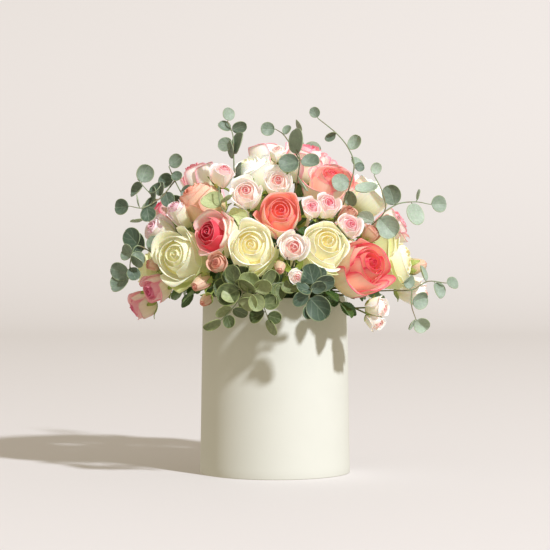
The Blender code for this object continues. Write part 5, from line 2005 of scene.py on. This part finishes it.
@dataclass
class EucalyptusSprig:
    """A eucalyptus stem with round cupped leaves on short stalks."""

    sprig: Sprig
    cup: float = 0.11
    fold: float = 0.07
    stalk: float = 0.0018
    stalk_radius: float = 0.0005
    width_share: float = 0.97
    twist_degrees: float = 56.0
    rows: int = 13
    columns: int = 11
    lean: tuple[float, float] = (-0.25, 0.35)
    tilt: float = 0.4
    # Chance spread and ceiling of each leaf's darkness; darkness past 1 is painted shade, not leaf age.
    age_and_shade_spread: float = 0.35
    age_and_shade_ceiling: float = 1.2
    taper: tuple[float, float] = (1.05, 0.55)

    def leaf_grid(self, attach: Array, along: Array, face: Array, diameter: float, chance: Array) -> Array:
        """Grid of one round leaf.

        The rows stand closer at both ends, as the cosine runs, and the half-width is the sine,
        so the rim is a circle, a little blunt at the tip. The middle lies deeper than the rim
        by the square of the radius, the halves rise from the midrib, and the rim waves.

        Args:
            attach: Foot of the leaf on its stalk.
            along: Unit vector from foot to tip.
            face: Where the upper side looks.
            diameter: Width of the leaf.
            chance: Three values from -1 to 1 that vary cup, wave and bend.

        Returns:
            (rows, columns, 3).
        """
        face = unit(face - along * (face @ along))
        across = np.cross(face, along)
        u, s = np.meshgrid(np.linspace(-1, 1, self.columns), np.linspace(0.02, 0.98, self.rows))
        length = diameter * (1 - np.cos(np.pi * s)) / 2
        wide = np.sin(np.pi * s) ** 0.86
        side = u * wide * diameter / 2
        far = np.hypot(length / diameter * 2 - 1, u * wide)
        deep = (self.cup * (1 + 0.5 * chance[0])) * (far**2 - 1) * diameter
        rise = self.fold * (1 + 0.9 * chance[0]) * np.abs(u) * wide * diameter
        wave = 0.026 * diameter * far**2 * np.sin(3 * u + 5 * s + 3 * chance[1])
        bend = 0.20 * chance[2] * (length / diameter) ** 2 * diameter
        return (attach + length[..., None] * along + side[..., None] * across
                + (deep + rise + wave + bend)[..., None] * face)

    def build(self, plan: StemPlan, crowd: Crowd, lean_rng: np.random.Generator,
              rng: np.random.Generator) -> bpy.types.Object:
        """Make the sprig.

        Args:
            plan: The planned stems.
            crowd: What the leaves keep off.
            lean_rng: Source of the lean and tilt of the leaves, drawn as the frame does.
            rng: Source of the other chance.

        Returns:
            The piece.
        """
        draft = Draft()
        look = direction(self.sprig.look_azimuth, self.sprig.look_elevation)
        right = unit(np.cross(np.array([0.0, 0.0, 1.0]), look))
        up = np.cross(look, right)
        for index, (stem, branch) in enumerate(zip(plan.sprigs[self.sprig.name], self.sprig.branches)):
            path = smooth_route(stem.points)
            thick = stem.radius * (TWIG_THICKNESS_SHARE if index else 1.0)
            draft.tube(path, thick * np.linspace(*self.taper, len(path)), 8, 0)
            outer = stem.points[-len(branch.route):]
            for order, (share, diameter, angle, *given) in enumerate(branch.leaves + branch.more_leaves):
                attach, _ = route_point(outer, share)
                turn = math.radians(angle)
                source = lean_rng if order < len(branch.leaves) else rng
                lean = source.uniform(*self.lean)
                along = unit(right * math.cos(turn) + up * math.sin(turn) + look * lean)
                tilt = source.uniform(-self.tilt, self.tilt, 2)
                face = unit(look + right * tilt[0] + up * tilt[1])
                chance = self.twist_degrees * rng.uniform(-1, 1)
                twist = math.radians(given[0] if given else chance)
                face = face * math.cos(twist) + np.cross(along, face) * math.sin(twist)
                foot = attach + along * self.stalk
                wide = diameter * MM * self.width_share
                grid = self.leaf_grid(foot, along, face, wide, rng.uniform(-1, 1, 3))
                grid = crowd.settle(grid, self.sprig.name)
                stalk = np.linspace(attach, grid[0].mean(axis=0), 3)
                draft.tube(stalk, np.full(3, self.stalk_radius), 6, 0)
                # Each leaf's darkness: its age, with painted shade for sprigs set past 1.
                age = np.clip(self.sprig.age + self.age_and_shade_spread * rng.uniform(-1, 1), 0, self.age_and_shade_ceiling)
                draft.sheet(grid, LEAF_THICKNESS, 1, 0.5, age)
        piece = draft.build(f"{self.sprig.name}_grown", [TWIG_SKIN.material(), self.sprig.leaf.material()])
        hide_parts(self.sprig.name)
        return piece


@dataclass
class HatBox:
    """The card box: a tapered wall wrapped in paper, turned in over the rim and the foot."""

    sides: int = 160
    edge: float = 0.0009
    edge_steps: int = 5
    wall_rings: int = 24
    floor: float = 0.003
    middle: float = 0.001
    lip_drop: float = 0.002
    lip_ease: float = 0.0006
    sharp_angle: float = 40.0

    def profile(self) -> Array:
        """Radius and height, down the outside, across the foot, and back up the inside.

        Returns:
            (n, 2).
        """
        turn = np.linspace(0, math.pi / 2, self.edge_steps)
        rim = BOX_RIM_RADIUS - self.edge
        top = np.stack([rim + self.edge * np.sin(turn), BOX_HEIGHT - self.edge * (1 - np.cos(turn))], -1)
        heights = np.linspace(BOX_HEIGHT - self.edge, self.edge, self.wall_rings)[1:-1]
        wall = np.stack([box_radius(heights), heights], -1)
        foot = BOX_FOOT_RADIUS - self.edge
        base = np.stack([foot + self.edge * np.cos(turn), self.edge * (1 - np.sin(turn))], -1)
        inside = BOX_RIM_RADIUS - BOX_WALL
        inner = np.array([[self.middle, 0.0], [self.middle, self.floor],
                          [box_radius(self.floor) - BOX_WALL, self.floor],
                          [inside, BOX_HEIGHT - self.lip_drop], [inside + self.lip_ease, BOX_HEIGHT]])
        return np.vstack([top, wall, base, inner])

    def build(self) -> bpy.types.Object:
        """Make the box.

        The profile is turned round the axis and joined to itself both ways.

        Returns:
            The piece.
        """
        profile = self.profile()
        rows, sides = len(profile), self.sides
        phi = np.linspace(0, 2 * math.pi, sides, endpoint=False)
        points = np.stack([profile[:, :1] * np.cos(phi), profile[:, :1] * np.sin(phi),
                           np.repeat(profile[:, 1:], sides, axis=1)], -1).reshape(-1, 3)
        index = np.arange(rows * sides).reshape(rows, sides)
        turned, lower = np.roll(index, -1, axis=1), np.roll(index, -1, axis=0)
        both = np.roll(lower, -1, axis=1)
        quads = np.stack([index, lower, both, turned], -1).reshape(-1, 4)
        draft = Draft()
        grain = np.zeros_like(points)
        draft.add(points, quads, 0, grain, grain)
        piece = draft.build("box_paper_wrapped", [PaperFinish().material()], self.sharp_angle)
        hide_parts("box")
        return piece


@dataclass
class Studio:
    """Pale sweep, one soft key from the upper right, warm fill all round, and the camera."""

    camera_place: tuple[float, float, float] = (0.0, -3.2, 0.353)
    camera_aim: tuple[float, float, float] = (0.0, 0.0, 0.2369)
    view_degrees: float = 11.77
    floor_colour: str = "#E5E0E1"
    sky_colour: str = "#FFF3D8"
    sky_strength: float = 0.50
    key_place: tuple[float, float, float] = (6.34, -7.84, 8.0)
    key_size: float = 0.80
    key_power: float = 1680.0
    key_colour: str = "#F3F8FF"
    key_aim: tuple[float, float, float] = (0.0, 0.0, 0.22)
    floor_front: float = -30.0
    floor_back: float = 2.8
    floor_half_width: float = 30.0
    bend_radius: float = 1.2
    wall_top: float = 6.0
    floor_roughness: float = 0.7

    def sweep(self) -> None:
        """A floor that curves up into a backdrop: a flat run, a quarter circle, a wall."""
        turn = np.linspace(0, math.pi / 2, 17)
        bend, back = self.bend_radius, self.floor_back
        arc = np.stack([back + bend * np.sin(turn), bend * (1 - np.cos(turn))], -1)
        line = np.vstack([[self.floor_front, 0.0], arc, [back + bend, self.wall_top]])
        xs = np.array([-self.floor_half_width, self.floor_half_width])
        points = np.stack([np.repeat(xs[None], len(line), 0), np.repeat(line[:, :1], 2, 1),
                           np.repeat(line[:, 1:], 2, 1)], -1).reshape(-1, 3)
        index = np.arange(len(line) * 2).reshape(-1, 2)
        quads = np.stack([index[:-1, 0], index[:-1, 1], index[1:, 1], index[1:, 0]], -1)
        mesh = bpy.data.meshes.new("pale_sweep")
        mesh.from_pydata(points.tolist(), [], quads.tolist())
        mesh.shade_smooth()
        finish = Recipe("pale_matt_floor", self.floor_roughness)
        finish.set("Base Color", to_linear(self.floor_colour))
        mesh.materials.append(finish.material)
        floor = bpy.data.objects.new("pale_sweep", mesh)
        bpy.context.scene.collection.objects.link(floor)
        floor.visible_diffuse = False

    def aim(self, thing: bpy.types.Object, target: tuple[float, float, float]) -> None:
        """Turn a lamp or the camera towards a point."""
        from_thing = Vector(target) - thing.location
        thing.rotation_euler = from_thing.to_track_quat("-Z", "Y").to_euler()

    def build(self) -> None:
        """Make the sweep, the lights and the camera."""
        scene = bpy.context.scene
        self.sweep()
        world = bpy.data.worlds.new("soft_fill")
        world.use_nodes = True
        sky = world.node_tree.nodes["Background"]
        sky.inputs["Color"].default_value = to_linear(self.sky_colour)
        sky.inputs["Strength"].default_value = self.sky_strength
        scene.world = world
        lamp = bpy.data.lights.new("key", "AREA")
        lamp.shape = "DISK"
        lamp.size = self.key_size
        lamp.energy = self.key_power
        lamp.color = to_linear(self.key_colour)[:3]
        key = bpy.data.objects.new("key", lamp)
        key.location = self.key_place
        scene.collection.objects.link(key)
        self.aim(key, self.key_aim)
        lens = bpy.data.cameras.new("camera")
        lens.angle = math.radians(self.view_degrees)
        lens.clip_end = 50
        camera = bpy.data.objects.new("camera", lens)
        camera.location = self.camera_place
        scene.collection.objects.link(camera)
        self.aim(camera, self.camera_aim)
        scene.camera = camera
        scene.view_settings.view_transform = "Standard"


def finish_of(petals: Petals) -> bpy.types.Material:
    """The material of a kind of petal, made once."""
    made = bpy.data.materials.get(petals.value.name)
    return made or petals.value.material()


def main() -> None:
    """Build the pieces in order and report each one."""
    logging.basicConfig(level=logging.INFO, format="%(message)s")
    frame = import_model()
    rng = np.random.default_rng(SEED)
    plan = StemPlan()
    crowd = Crowd(plan.all)
    HatBox().build()
    frame["nodes"]["liner"].data.materials[0] = PlasticFinish().material()
    frame["nodes"]["foam"].data.materials[0] = FoamFinish().material()
    for bloom in ROSES:
        LargeRose(bloom).build(crowd, rng)
    for node, heads in SPRAYS.items():
        RoseSpray(node, heads).build(plan, crowd, rng)
    for node in GREEN_SECTORS:
        RoseGreens(node).build(plan, crowd, rng)
    lean_rng = np.random.default_rng(SEED)
    for sprig in SPRIGS:
        EucalyptusSprig(sprig).build(plan, crowd, lean_rng, rng)
    Studio().build()


if __name__ == "__main__":
    main()
